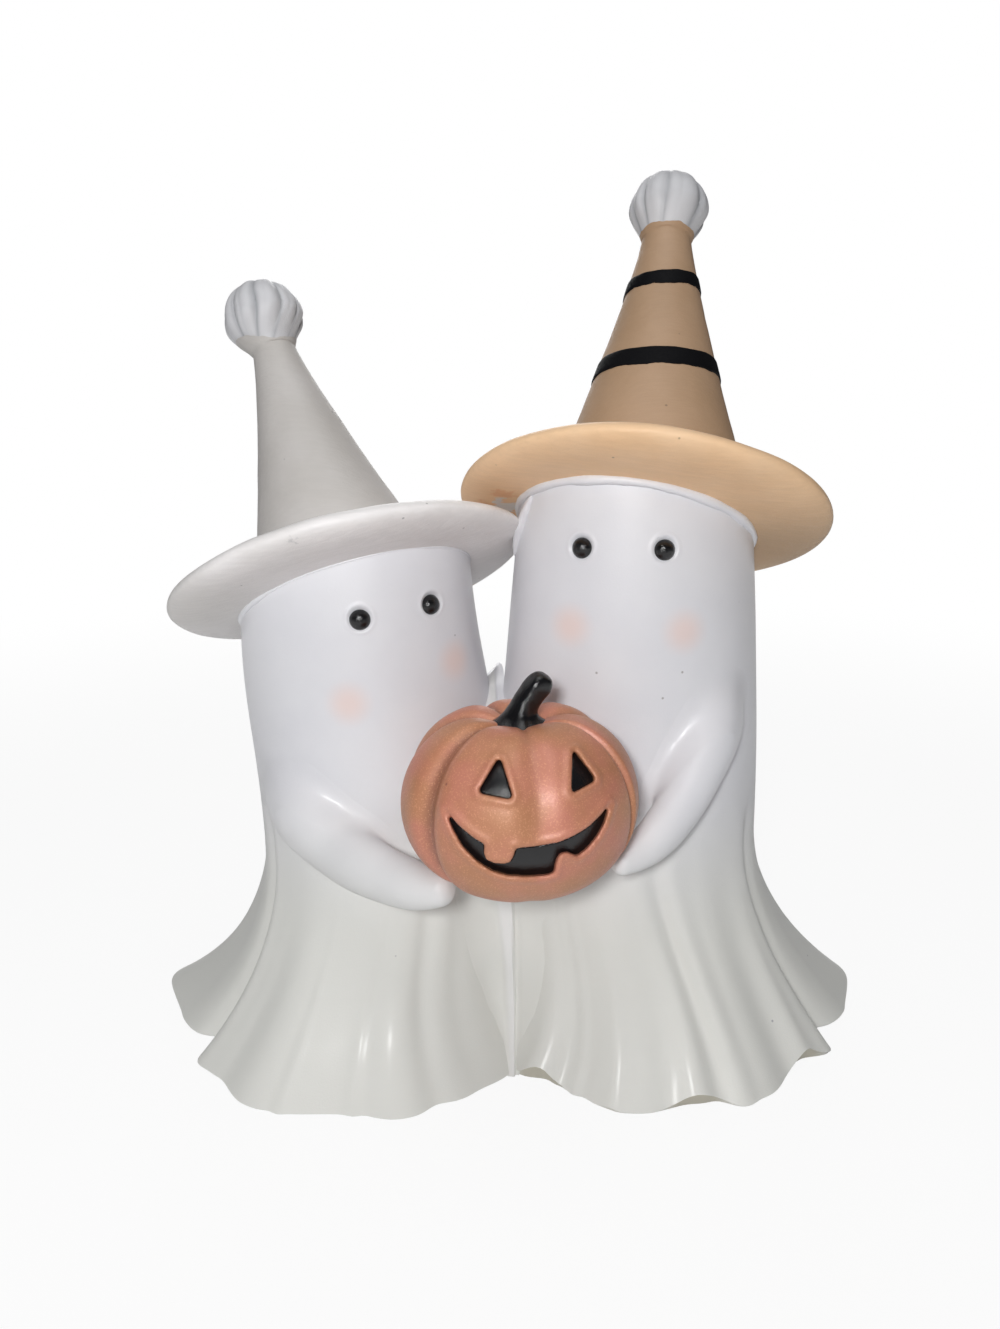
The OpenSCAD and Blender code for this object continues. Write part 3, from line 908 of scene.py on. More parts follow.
@dataclass(frozen=True)
class SlipFinish(Finish):
    """Pearly white slip that turns duller on the skirts, with painted shade that greys them there, between two
    heights in metres.
    """

    # Colours of the painted shade on the skirts, of the clay under lifted hems with painted shade, and of the
    # painted highlight on the seam's ridge.
    skirt_shade_color: Triple = (0.71, 0.71, 0.675)
    clay_and_shade_color: Triple = (0.42, 0.39, 0.31)
    ridge_highlight_color: Triple = (0.78, 0.78, 0.77)
    low_roughness: float = 0.62
    shade_from: float = 0.078
    shade_to: float = 0.03
    dull_from: float = 0.085
    dull_to: float = 0.04

    def painted(self, graph: Graph, where: Socket, color: Socket) -> Socket:
        """Paints shade that greys the skirts, a highlight along the seam's ridge, and the clay under lifted hems
        with painted shade.

        Args:
            graph: the material's graph.
            where: the place on the piece.
            color: the colour so far.

        Returns:
            The slip's colour.
        """
        # Painted shade: the slip greys towards the bottom of the skirts.
        low = graph.ranged(graph.height(where), self.shade_from, self.shade_to)
        color = graph.blend(low, color, opaque(self.skirt_shade_color))
        # Painted highlight: lighter slip along the seam's ridge, where the web is marked.
        color = graph.blend(graph.marked("thick"), color, opaque(self.ridge_highlight_color))
        # Clay under lifted hems: a bare clay tint, darkened with painted shade.
        return graph.blend(graph.marked("bare"), color, opaque(self.clay_and_shade_color))

    def rough(self, graph: Graph, where: Socket, grain: Socket) -> Socket:
        """Returns the roughness, which is greater on the skirts."""
        level = graph.ranged(graph.height(where), self.dull_from, self.dull_to, self.roughness, self.low_roughness)
        return graph.math("MULTIPLY", level, graph.ranged(grain, 0.3, 0.7, 0.88, 1.12))


@dataclass(frozen=True)
class PumpkinFinish(Finish):
    """Copper orange with painted glints for its fine shimmer, and painted shade that darkens the grooves."""

    groove_shade_color: Triple = (0.2, 0.085, 0.055)
    glint_color: Triple = (0.8, 0.42, 0.24)
    glint_size: float = 4600.0

    def painted(self, graph: Graph, where: Socket, color: Socket) -> Socket:
        """Paints shade into the grooves and glints for the shimmer.

        Args:
            graph: the material's graph.
            where: the place on the piece.
            color: the colour so far.

        Returns:
            The copper's colour.
        """
        # Painted shade darkens the grooves between the lobes.
        groove = graph.ranged(graph.marked("groove"), 0.15, 1.0, 0.0, 0.8)
        color = graph.blend(groove, color, opaque(self.groove_shade_color))
        grains = graph.node("TexVoronoi", {"Vector": where, "Scale": self.glint_size})
        glint = graph.node("SeparateColor", {0: grains.outputs["Color"]}).outputs[1]
        return graph.blend(graph.ranged(glint, 0.75, 0.98, 0.0, 0.3), color, opaque(self.glint_color))


WHITE = SlipFinish(
    "white_slip", "white_slip", (0.73, 0.73, 0.76), (0.7, 0.7, 0.735), 0.42,
    speck_share=0.006, bump=0.1, coat=0.12, coat_roughness=0.3,
)
# The pompoms' slip is a darker copy of the white slip: painted shade.
TUFT = TuftFinish(
    "pompom_slip", "white_slip", (0.68, 0.68, 0.7), (0.62, 0.62, 0.64), 0.5, speck_share=0.006, bump=0.16,
)
SHORT_BRIM = Finish(
    "greige_brim_paint", "short_brim_paint", (0.84, 0.815, 0.81), (0.78, 0.755, 0.745), 0.55,
    stroke_tone=0.02, bump=0.12,
    spots=(
        Spot((-0.074, -0.02, 0.112), 0.03, (0.66, 0.64, 0.62), 0.8),
        Spot((-0.002, -0.005, 0.116), 0.026, (0.88, 0.86, 0.85), 0.9),
        Spot((-0.0454, -0.0416, 0.1281), 0.0012, (0.35, 0.35, 0.36), 0.5, 0.7, 0.6),
        Spot((-0.011, 0.0261, 0.1074), 0.003, (0.6, 0.42, 0.28), 0.7, 0.6, 0.5),
    ),
)
SHORT_CONE = Finish(
    "greige_cone_paint", "short_cone_paint", (0.57, 0.545, 0.525), (0.53, 0.505, 0.48), 0.6,
    stroke_tone=0.012, bump=0.1,
)
TALL_BRIM = Finish(
    "peach_brim_paint", "tall_brim_paint", (0.84, 0.58, 0.36), (0.8, 0.53, 0.31), 0.55,
    stroke_tone=0.02, bump=0.12,
    spots=(
        # The first patch is painted light, paler towards the brim's left; the second is painted shade, darker
        # towards its right end.
        Spot((-0.01, -0.01, 0.134), 0.034, (0.9, 0.61, 0.38), 0.9),
        Spot((0.066, -0.004, 0.119), 0.036, (0.47, 0.31, 0.18), 0.9),
        Spot((-0.0076, 0.0005, 0.1332), 0.0043, (0.74, 0.37, 0.17), 0.8, 0.7, 0.3),
        Spot((-0.004, -0.0067, 0.1362), 0.003, (0.8, 0.4, 0.2), 0.6, 0.6, 0.5),
        Spot((0.0045, 0.0015, 0.1305), 0.0045, (0.78, 0.45, 0.24), 0.7, 0.6, 0.5),
        Spot((-0.0021, 0.0004, 0.1322), 0.0036, (0.74, 0.72, 0.71), 0.9, 0.35, 0.5),
    ),
)
TALL_CONE = Finish(
    "tan_cone_paint", "tall_cone_paint", (0.46, 0.3, 0.185), (0.42, 0.27, 0.16), 0.58,
    stroke_tone=0.012, bump=0.1,
)
BAND = Finish(
    "band_black", "band_paint", (0.005, 0.005, 0.006), (0.007, 0.007, 0.008), 0.6, bump=0.15, specular=0.06,
)
PUMPKIN = PumpkinFinish(
    "copper_orange", "pumpkin_paint", (0.52, 0.2, 0.135), (0.45, 0.2, 0.1), 0.48,
    mottle_size=100.0, bump=0.16, metallic=0.12, coat=0.12, coat_roughness=0.3,
)
# The glaze's rare lighter specks are painted highlights, flecks of reflection.
GLAZE = Finish(
    "black_glaze", "black_glaze", (0.004, 0.004, 0.005), (0.006, 0.006, 0.007), 0.12,
    speck_share=0.01, speck_tone=8.0, bump=0.3,
)


class Dresser:
    """Gives pieces their material, their body and the solids that they stand for."""

    def __init__(self, frame: dict) -> None:
        """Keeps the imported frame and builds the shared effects.

        Args:
            frame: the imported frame, as it was loaded.
        """
        self.frame = frame
        self.effects = Effects()
        self.materials: dict[str, bpy.types.Material] = {}

    def coat(self, piece: Piece, finish: Finish) -> None:
        """Puts a finish on a piece in place of any other, and builds its material on first use.

        Args:
            piece: the piece.
            finish: its surface.
        """
        if finish.name not in self.materials:
            self.materials[finish.name] = finish.build(self.effects)
        piece.data.materials.clear()
        piece.data.materials.append(self.materials[finish.name])

    def dress(self, piece: Piece, finish: Finish, *nodes: str) -> None:
        """Finishes a new piece.

        Args:
            piece: the piece, with its place in its mesh.
            finish: its surface.
            nodes: the solids that it stands for.
        """
        self.coat(piece, finish)
        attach(piece, BODY)
        if nodes:
            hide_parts(*nodes)
        log.info("%s: %d faces, %s", piece.name, len(piece.data.polygons), finish.name)

    def repaint(self, node: str, finish: Finish) -> None:
        """Gives a solid that stays its finish."""
        self.coat(self.frame["nodes"][node], finish)
        log.info("%s keeps its solid: %s", node, finish.name)


@dataclass
class Ghost:
    """One ghost's body with its eye dishes, and the arm that grows out of its flank.

    The arm's rows give the angle and the height of its axis on the body, how far the axis stands off
    the skin and the arm's radius, both as shares of the shoulder's radius.
    """

    name: str
    form: GhostForm
    finish: SlipFinish
    arm_rows: Rows
    rings: int = 168
    steps: int = 288
    foot_h: float = 0.35
    foot_in: float = 0.35
    dish_r: float = 2.8
    dish_depth: float = 1.1
    dish_rim: float = 0.12
    shoulder_r: float = 11.0
    hand_end: float = 0.55
    arm_grain: float = 0.75
    blend_r: float = 5.0
    blend_passes: int = 46
    under_r: float = 2.2
    under_passes: int = 7
    edge_sink: float = 0.5

    def body_form(self) -> Form:
        """Makes a foot wall that follows the hem's outline, and the draped skin over it.

        Returns:
            The body's mesh.
        """
        form = self.form
        profile = [(1.0, -2.0), (1.0, -1.0)] + [(1.0, (j / self.rings) ** 1.15) for j in range(self.rings + 1)]

        def place(angle: float, _radius: float, level: float) -> Vector:
            """Finds a point of the foot wall or the skin.

            Args:
                angle: angle round the turned form.
                level: -2 at the foot's edge, -1 under the hem, and a height on the body from 0.

            Returns:
                The point.
            """
            angle *= form.side.value
            lift = form.lift(angle) + self.foot_h
            if level >= 0:
                return form.skin(angle, level, 0.0, lift)
            point = form.place(angle, 0.0, form.radius(angle, 0.0) - self.foot_in - 0.45 * form.lift(angle))
            point.z = 0.0 if level < -1.5 else lift - 0.3
            return point

        return moulded(profile, self.steps, place)

    def press_dishes(self, body: Form) -> None:
        """Presses a soft-edged dish into the head for each eye.

        Args:
            body: the body's mesh.
        """
        for angle, height in self.form.eyes:
            centre = self.form.skin_at(angle, height)
            near = [v for v in body.verts if (v.co - centre).length < 1.9 * self.dish_r]
            edges = {edge for vert in near for edge in vert.link_edges}
            bmesh.ops.subdivide_edges(body, edges=list(edges), cuts=2, use_grid_fill=True)
            inward = -outward(angle * self.form.side.value)
            for vert in body.verts:
                away = vert.co - centre
                if away.length > 2 * self.dish_r:
                    continue
                away -= inward * away.dot(inward)
                share = away.length / self.dish_r
                vert.co += inward * self.dish_depth * ease(1.35 - share * 1.2)
                vert.co -= inward * self.dish_rim * bell(share - 1.12, 0.16)

    def bare_clay_and_shade(self, point: Vector) -> float:
        """Says how much bare clay shows under the hem where it is lifted off the table, darkened there with painted
        shade.

        Args:
            point: a point of the body.

        Returns:
            A share from 0 to 1.
        """
        x, y, z = point
        lift = self.form.lift(math.degrees(math.atan2(self.form.side.value * x - self.form.foot_x, -y)))
        return 0.8 * clamp(lift / 1.5) * (z < lift + self.foot_h - 0.2)

    def make_body(self) -> Piece:
        """Makes the body.

        Returns:
            The body, marked where its clay is bare.
        """
        body = self.body_form()
        self.press_dishes(body)
        bmesh.ops.recalc_face_normals(body, faces=body.faces)
        piece = piece_from(body, f"{self.name}_figure_body", 60)
        # Marks the clay under lifted hems, which the finish darkens with painted shade.
        mark(piece, "bare", self.bare_clay_and_shade)
        return piece

    def arm_path(self, sections: int = 48) -> tuple[list[Vector], list[float]]:
        """Reads the arm's rows.

        Args:
            sections: number of steps along the arm.

        Returns:
            The centres and the radii of the arm's sections.
        """
        marks = [along(self.arm_rows, k / sections) for k in range(sections + 1)]
        path = [self.form.skin(angle, share, proud * self.shoulder_r) for angle, share, proud, _ in marks]
        radii = [radius * self.shoulder_r for *_, radius in marks]
        radii[-1] *= self.hand_end
        return path, radii

    def make_arm(self, body: Piece) -> Piece:
        """Makes the arm, whose root flows into the body and ends just under the body's skin.

        Args:
            body: the body, which stays as it is.

        Returns:
            The arm as a closed piece.
        """
        path, radii = self.arm_path()
        both = tube(path, radii, 40, Vector((0, 0, 1)))
        arm_tree = BVHTree.FromBMesh(both)
        scale(both, MM)
        both.from_mesh(body.data)
        scale(both, 1 / MM)
        merged = remeshed(piece_from(both, f"{self.name}_arm_on_body"), self.arm_grain, 1)
        form = copy_of(merged)
        skin = copy_of(body)
        skin_tree = BVHTree.FromBMesh(skin)
        skin.free()
        discard(merged)
        reach = (self.blend_r + 2.0) * 1.6
        far = [v for v in form.verts if arm_tree.find_nearest(v.co, reach)[0] is None]
        bmesh.ops.delete(form, geom=far, context="VERTS")
        for passes, limit, above in (
            (self.blend_passes, self.blend_r, True),
            (self.under_passes, self.under_r, False),
        ):
            soft = []
            for vert in form.verts:
                gap = skin_tree.find_nearest(vert.co)[3]
                arm_gap = arm_tree.find_nearest(vert.co)[3]
                rises = vert.co.z > self.axis_height(path, vert.co)
                if gap < limit and arm_gap < limit and rises == above and not vert.is_boundary:
                    soft.append(vert)
            soften(form, soft, passes)
        for vert in form.verts:
            _, normal, _, gap = skin_tree.find_nearest(vert.co)
            arm_gap = arm_tree.find_nearest(vert.co)[3]
            sunk = ease((arm_gap - self.blend_r * 0.55) / (self.blend_r * 0.8))
            if gap < 1.5:
                vert.co -= normal * self.edge_sink * sunk
        bmesh.ops.holes_fill(form, edges=[edge for edge in form.edges if edge.is_boundary], sides=0)
        bmesh.ops.triangulate(form, faces=[face for face in form.faces if len(face.verts) > 4])
        bmesh.ops.recalc_face_normals(form, faces=form.faces)
        return piece_from(form, f"{self.name}_figure_arm", 75)

    @staticmethod
    def axis_height(path: Sequence[Vector], point: Vector) -> float:
        """Returns the height of the arm's axis where it passes nearest to a point."""
        return min(path, key=lambda centre: (centre - point).length_squared).z

    def build(self, dresser: Dresser) -> None:
        """Makes and dresses the body and the arm, and repaints the eyes.

        Args:
            dresser: what dresses the pieces.
        """
        body = self.make_body()
        arm = self.make_arm(body)
        dresser.dress(body, self.finish, f"{self.name}_body")
        dresser.dress(arm, self.finish, f"{self.name}_arm")
        for place in ("outer", "inner"):
            dresser.repaint(f"{self.name}_eye_{place}", GLAZE)


@dataclass
class Hat:
    """One ghost's hat: its brim, cone and pompom, in the frame of the ghost's crown.

    The bands' rows give a band's name, its distance from the cone's top, its width, how much higher it
    runs at the cone's sides, and how much it climbs towards +X.
    """

    name: str
    form: GhostForm
    brim_finish: Finish
    cone_finish: Finish
    brim_out: float
    cone_out: float
    cone_side: float
    cone_r: float
    cone_l: float
    tip_r: float
    droop: float
    lobes: int
    twist: float
    paint_front: float
    paint_sides: float
    paint_slant: float = 0.0
    uneven: float = 1.0
    bands: tuple[tuple[str, float, float, float, float], ...] = ()
    brim_r: float = 43.2
    brim_t: float = 5.5
    brim_forward: float = 3.0
    under_rim: float = 9.0
    top_rim: float = 5.0
    cone_rings: int = 64
    collar_rings: int = 5
    collar_t: float = 0.16
    band_t: float = 0.4
    pompom_r: float = 10.2
    crease: float = 0.15
    belly_share: float = 0.42
    dimple_depth: float = 2.2
    dimple_r: float = 2.6

    @property
    def belly_h(self) -> float:
        """Height of the pompom's widest place above the cone's top."""
        return math.sqrt(self.pompom_r**2 - self.tip_r**2)

    @property
    def lean(self) -> float:
        """Angle between the cone and the crown it stands on."""
        return self.cone_side - self.form.tilt_out

    def cone_frame(self) -> Matrix:
        """Works out the frame of the cone.

        Returns:
            The frame, whose origin is in the middle of the cone's foot.
        """
        side = self.form.side.value
        return (
            self.form.crown()
            @ Matrix.Translation((side * self.cone_out, 0, self.brim_t))
            @ Matrix.Rotation(math.radians(side * self.lean), 4, "Y")
        )

    def cone_radius(self, share: float) -> float:
        """Returns the cone's radius at a share of its length."""
        return mix(self.tip_r, self.cone_r, max(0.0, 1 - share) ** 1.18)

    def neck_radius(self, height: float) -> float:
        """Returns the radius of the pompom's lower half at a height above the cone's top."""
        return mix(self.tip_r + 0.1, self.pompom_r, math.sin(math.pi / 2 * clamp(height / self.belly_h) ** 1.45))

    def make_brim(self) -> Piece:
        """Makes the brim, a thick disc with a soft rim that sags a little where it was shaped by hand.

        Returns:
            The brim.
        """
        side = self.form.side.value
        crown = self.form.crown()
        half = self.brim_t / 2
        quarter = [math.radians(7.5 * k) for k in range(13)]
        under_flat, top_flat = self.brim_r - self.under_rim, self.brim_r - self.top_rim
        under = [(under_flat * k / 16, 0.0) for k in range(16)]
        under += [(under_flat + self.under_rim * math.sin(turn), half - half * math.cos(turn)) for turn in quarter]
        top = [(top_flat + self.top_rim * math.cos(turn), half + half * math.sin(turn)) for turn in quarter[1:]]
        top += [(top_flat * k / 16, self.brim_t) for k in range(15, -1, -1)]

        def place(angle: float, radius: float, height: float) -> Vector:
            """Moves a point of the flat disc to the brim.

            Args:
                angle: angle round the disc.
                radius: distance from its middle.
                height: height above its underside.

            Returns:
                The point on the brim.
            """
            turn = math.radians(angle)
            share = radius / self.brim_r
            local = Vector((radius * math.sin(turn), -radius * math.cos(turn), height))
            wave = 0.5 * wander(local, 30, side * 2.0) + 0.22 * wander(local, 11, side * 5.0)
            sag = self.droop * clamp((share - 0.55) / 0.45) ** 1.5 * bell(turn_between(angle, -90 * side), 48)
            local.z += wave * share**2 - sag
            local += Vector((side * self.brim_out, -self.brim_forward, 0))
            return crown @ local

        return piece_from(moulded(under + top, 176, place), f"{self.name}_hat_brim", 80)

    def worn(self, point: Vector) -> float:
        """Returns how far the cone's side stands out or in at a point, fading towards its top."""
        uneven = 0.25 * wander(point, 16, self.cone_l) + 0.08 * wander(point, 5, self.cone_l)
        return uneven * clamp((self.cone_l - point.z) / 6)

    def make_cone(self) -> Piece:
        """Makes the cone, with its foot hidden in the brim and a collar of paint up the pompom.

        Returns:
            The cone.
        """
        frame = self.cone_frame()
        rings, collar = self.cone_rings, self.collar_rings
        root = -self.cone_r * math.sin(math.radians(abs(self.lean))) - 1.0
        profile = [(self.cone_r + 0.6, root)]
        profile += [(self.cone_radius(k / rings), k / rings * self.cone_l) for k in range(rings + 1)]
        profile += [(1.0, self.cone_l + k) for k in range(1, collar + 2)] + [(0.0, self.cone_l + collar + 2)]

        def place(angle: float, radius: float, height: float) -> Vector:
            """Moves a point of the even cone to the worn one, and a ring above it to the collar.

            Args:
                angle: angle round the cone.
                radius: distance from its axis, or 1 for the collar's rings.
                height: height above its foot, or past its top by the number of the collar's ring.

            Returns:
                The point on the cone.
            """
            turn = math.radians(angle)
            ray = outward(angle)
            over = height - self.cone_l
            if over > 0.5:
                edge = self.paint_front + self.paint_sides * math.sin(turn) ** 2 + self.paint_slant * math.sin(turn)
                edge += 0.5 * wander(ray * 9, 5, self.cone_l) + 0.2 * wander(ray * 9, 1.7, self.cone_l)
                height = self.cone_l + edge * min(over, collar) / collar
                proud = self.collar_t if over < collar + 0.5 else -5 * self.collar_t
                radius = 0.0 if radius < 0.5 else self.neck_radius(height - self.cone_l) + proud
            point = ray * radius + Vector((0, 0, height))
            return frame @ (point + ray * self.worn(point) * min(1.0, radius / 4))

        return piece_from(moulded(profile, 128, place), f"{self.name}_hat_cone", 60)

    def make_band(self, name: str, from_top: float, width: float, rise: float, slant: float) -> Piece:
        """Makes a band of slip with hand-painted edges.

        Args:
            name: the band's name.
            from_top: distance from the cone's top to the band.
            width: the band's width.
            rise: how much higher the band runs at the cone's sides.
            slant: how much it climbs towards +X.

        Returns:
            The band.
        """
        frame = self.cone_frame()
        base = 20.0
        start, end = self.cone_l - from_top - width, self.cone_l - from_top
        outline = [(-0.2, 0.0), (0.55, 0.04), (0.85, 0.12), (0.9, 0.3), (0.9, 0.7), (0.85, 0.88), (0.55, 0.96)]
        outline += [(-0.2, 1.0), (-0.2, 0.5), (-0.2, 0.0)]
        profile = [(base + proud * self.band_t, level) for proud, level in outline]

        def place(angle: float, radius: float, level: float) -> Vector:
            """Moves a point of the even ring to the band.

            Args:
                angle: angle round the cone.
                radius: the base radius and how far the point stands off the cone.
                level: share of the band's width, from its lower edge.

            Returns:
                The point on the band.
            """
            turn = math.radians(angle)
            ray = outward(angle)
            low = start - 0.45 * wander(ray * 20, 5, from_top) - 0.3 * abs(wander(ray * 20, 1.6, from_top + 3))
            high = end + 0.3 * wander(ray * 20, 6, from_top + 7)
            height = mix(low, high, level) + rise * math.sin(turn) ** 2 + slant * math.sin(turn)
            point = ray * self.cone_radius(height / self.cone_l) + Vector((0, 0, height))
            return frame @ (point + ray * (self.worn(point) + radius - base))

        return piece_from(moulded(profile, 160, place), f"{name}_stripe", 70)

    def crease_depth(self, angle: float, level: float) -> float:
        """Works out how deep the pompom's creases are.

        Args:
            angle: angle round the pompom.
            level: share of its height.

        Returns:
            The depth, about 1 at most.
        """
        turn, seed = math.radians(angle), float(self.lobes)
        swirl = angle + self.twist * (0.5 - level) ** 2 * math.copysign(2.4, 0.5 - level)
        swirl += self.uneven * (10 * math.sin(2 * turn + seed) + 5 * math.sin(3 * turn + 2 * seed))
        main = 1 - abs(math.sin(math.radians(swirl * self.lobes / 2))) ** 0.6
        minor = 1 - abs(math.sin(math.radians(swirl * self.lobes + 50))) ** 0.8
        return main * (0.75 + 0.5 * wander(outward(angle) * 8, 6, seed)) + 0.14 * minor

    def make_pompom(self) -> Piece:
        """Makes the tuft: a bulb of uneven lobes that twist from a dimple down to the cone's top.

        Returns:
            The pompom, marked with its creases, where its finish paints shade.
        """
        frame = self.cone_frame() @ Matrix.Translation((0, 0, self.cone_l))
        to_local = frame.inverted()
        profile = [(0.0, -0.06), (0.8, -0.06)] + [(1.0, k / 72) for k in range(1, 71)] + [(0.0, 1.0)]
        belly = self.belly_share
        above = 1 - belly

        def place(angle: float, radius: float, level: float) -> Vector:
            """Moves a point of the even ring to the lobed tuft.

            Args:
                angle: angle round the pompom.
                radius: 1 on the outside, or less under its foot.
                level: share of its height.

            Returns:
                The point on the pompom.
            """
            if level < belly:
                height = self.belly_h * level / belly
                reach = self.neck_radius(height)
                round_off = ease(level / belly)
            else:
                up = math.radians(90 * (level - belly) / above)
                height = self.belly_h + self.pompom_r * math.sin(up)
                reach = self.pompom_r * math.cos(up)
                height -= self.dimple_depth * bell(reach, self.dimple_r)
                round_off = clamp(reach / 3.5) ** 0.7
            ray = outward(angle)
            reach *= 1 - self.crease * self.crease_depth(angle, level) * round_off
            height += 0.35 * wander(ray * reach, 5, float(self.lobes)) * round_off
            return frame @ (ray * reach * radius + Vector((0, 0, height)))

        def creased(point: Vector) -> float:
            """Finds the depth of the creases at a point of the tuft.

            Args:
                point: the point.

            Returns:
                The depth, about 1 at most.
            """
            local = to_local @ point
            over = (local.z - self.belly_h) / self.pompom_r
            level = belly + above * math.asin(clamp(over)) * 2 / math.pi if over > 0 else belly * (1 + over)
            return self.crease_depth(math.degrees(math.atan2(local.x, -local.y)), level)

        pompom = piece_from(moulded(profile, 200, place), f"{self.name}_hat_pompom", 80)
        mark(pompom, "crease", creased)
        return pompom

    def build(self, dresser: Dresser) -> None:
        """Makes and dresses the hat's pieces.

        Args:
            dresser: what dresses the pieces.
        """
        dresser.dress(self.make_brim(), self.brim_finish, f"{self.name}_brim")
        dresser.dress(self.make_cone(), self.cone_finish, f"{self.name}_cone")
        dresser.dress(self.make_pompom(), TUFT, f"{self.name}_pompom")
        for name, *sizes in self.bands:
            dresser.dress(self.make_band(name, *sizes), BAND, name)


@dataclass
class Slip:
    """White slip that lutes the hats to the heads and the two bodies to each other.

    The web's rows give a height, the middle and half the width of the web along X, and how far its
    ridge is from its middle. The contact bead's rows give an angle, a height and a radius.
    """

    short: GhostForm
    tall: GhostForm
    web_rows: Rows = (
        (0.1, -0.8, 1.4, 0.3), (6, -0.9, 3.6, 0.4), (12, -1.0, 6.5, 0.6), (24, -1.5, 10.0, 0.8),
        (36, -2.3, 12.0, 1.4), (48, -3.1, 13.0, 1.8), (60, -4.0, 12.5, 1.8), (72, -5.0, 10.0, 1.5),
        (81, -5.4, 5.6, 1.0), (89, -5.9, 2.4, 0.4),
    )
    web_t: float = 3.0
    web_rings: int = 110
    ridge_h: float = 0.9
    steepest: float = 1.2
    slope_run: float = 1.5
    contact_rows: Rows = (
        (-64, 0.99, 0.9), (-70, 0.97, 1.2), (-76, 0.95, 1.3), (-81, 0.93, 1.1), (-85, 0.91, 0.7),
    )

    def crown_bead(self, form: GhostForm, name: str, size: float, front: float) -> Piece:
        """Makes the bead round a head, under its brim.

        Args:
            form: the ghost's form.
            name: the piece's name.
            size: radius of the bead at the outer side.
            front: its radius at the front as a share of that.

        Returns:
            The bead.
        """
        base = 10
        circle = [math.radians(30 * k) for k in range(13)]
        profile = [(base + math.cos(turn), math.sin(turn)) for turn in circle]
        crown = form.crown()
        up = (crown.to_3x3() @ Vector((0, 0, 1))).normalized()

        def place(angle: float, radius: float, height: float) -> Vector:
            """Moves a point of an even ring to the bead.

            Args:
                angle: angle round the head.
                radius: the base radius and a share of the bead's own.
                height: share of the bead's radius.

            Returns:
                The point on the bead.
            """
            at = form.skin(angle * form.side.value, 1.0)
            ray = at - crown.translation
            ray = (ray - up * ray.dot(up)).normalized()
            outer = ease((angle * form.side.value - 20) / 45)
            thick = size * mix(front, 1, outer) * (1 + 0.3 * wander(at, 7, size) + 0.12 * wander(at, 2.5, size))
            return at + ray * (thick * (radius - base) - 0.1) + up * (thick * height - 0.35 * thick)

        return piece_from(moulded(profile, 200, place), name)

    def contact_bead(self, sections: int = 30) -> Piece:
        """Makes the bead where the short ghost's brim meets the tall ghost's head.

        Args:
            sections: number of steps along the bead.

        Returns:
            The bead.
        """
        marks = [along(self.contact_rows, k / sections) for k in range(sections + 1)]
        path = [self.tall.skin(angle, share, 0.2) for angle, share, _ in marks]
        radii = [
            max(0.1, size * (1 + 0.2 * wander(at, 4)) * math.sin(math.pi * clamp(k / sections)) ** 0.4)
            for k, ((_, _, size), at) in enumerate(zip(marks, path))
        ]
        return piece_from(tube(path, radii, 18, Vector((0, 1, 0))), "brim_contact_slip")

    def front(self, x: float, height: float) -> float:
        """Returns Y of the front of whichever body is at a place along X and a height."""
        form = self.short if x < -height * self.tall.seam_slope else self.tall
        return form.front(x, height)

    @staticmethod
    def raised(beside: float, ridge: float) -> float:
        """Returns how high the seam's ridge is beside the web's middle, as a share of its height."""
        return ease((ridge + 1.7 + beside) / 1.9) * ease((ridge + 0.4 - beside) / 0.6)

    def web(self) -> Piece:
        """Makes the web that fills the valley between the two skirts, with the ridge left by its seam.

        Returns:
            The web, marked along its seam's ridge, where its finish paints a highlight.
        """
        rows, run = self.web_rows, self.slope_run
        bottom, top = rows[0][0], rows[-1][0]
        lines: dict[float, tuple[float, ...]] = {}

        def line(height: float) -> tuple[float, ...]:
            """Works out one level line of the web, once for each height.

            Args:
                height: height above the table.

            Returns:
                Its middle, half width and ridge, and Y and slope at its left and right ends.
            """
            if height not in lines:
                k = max(i for i in range(len(rows) - 1) if rows[i][0] <= height + 1e-6)
                share = (k + (height - rows[k][0]) / (rows[k + 1][0] - rows[k][0])) / (len(rows) - 1)
                _, middle, half, ridge = along(rows, min(share, 1.0))
                left, right = middle - half, middle + half
                y_left, y_right = self.front(left, height), self.front(right, height)
                slope_left = (y_left - self.front(left - run, height)) / run
                slope_right = (self.front(right + run, height) - y_right) / run
                rise_left, rise_right = (
                    max(-self.steepest, min(self.steepest, slope)) * 2 * half for slope in (slope_left, slope_right)
                )
                lines[height] = middle, half, ridge, y_left, y_right, rise_left, rise_right
            return lines[height]

        def place(angle: float, _radius: float, height: float) -> Vector:
            """Moves a point of an even column to the web.

            Args:
                angle: angle round the column, whose front half is the web's face.
                height: height above the table.

            Returns:
                The point on the web.
            """
            height = round(height, 4)
            middle, half, ridge, y_left, y_right, rise_left, rise_right = line(height)
            turn = math.radians(angle)
            u = math.sin(turn)
            x, beside = middle + half * u, u * half
            y = joined(y_left, rise_left, y_right, rise_right, (1 + u) / 2)
            y -= self.ridge_h * self.raised(beside, ridge)
            y += 0.35 * bell(beside - ridge - 1.0, 0.6) + 0.08 * wander(Vector((x, y, height)), 4)
            y += 0.3 * clamp((abs(u) - 0.9) / 0.1) ** 2 - 0.03 + 0.11 * max(0.0, height - 80) ** 2
            return Vector((x, y + self.web_t * max(0.0, -math.cos(turn)), height))

        def thick(point: Vector) -> float:
            """Finds how much painted highlight lies on the seam's ridge at a point of the web.

            Args:
                point: the point.

            Returns:
                A share from 0 to 1.
            """
            middle, _, ridge, *_ = line(max(bottom, min(top, round(point.z, 4))))
            return self.raised(point.x - middle, ridge)

        profile = [(1.0, mix(bottom, top, k / self.web_rings)) for k in range(self.web_rings + 1)]
        web = piece_from(moulded(profile, 128, place), "seam_slip")
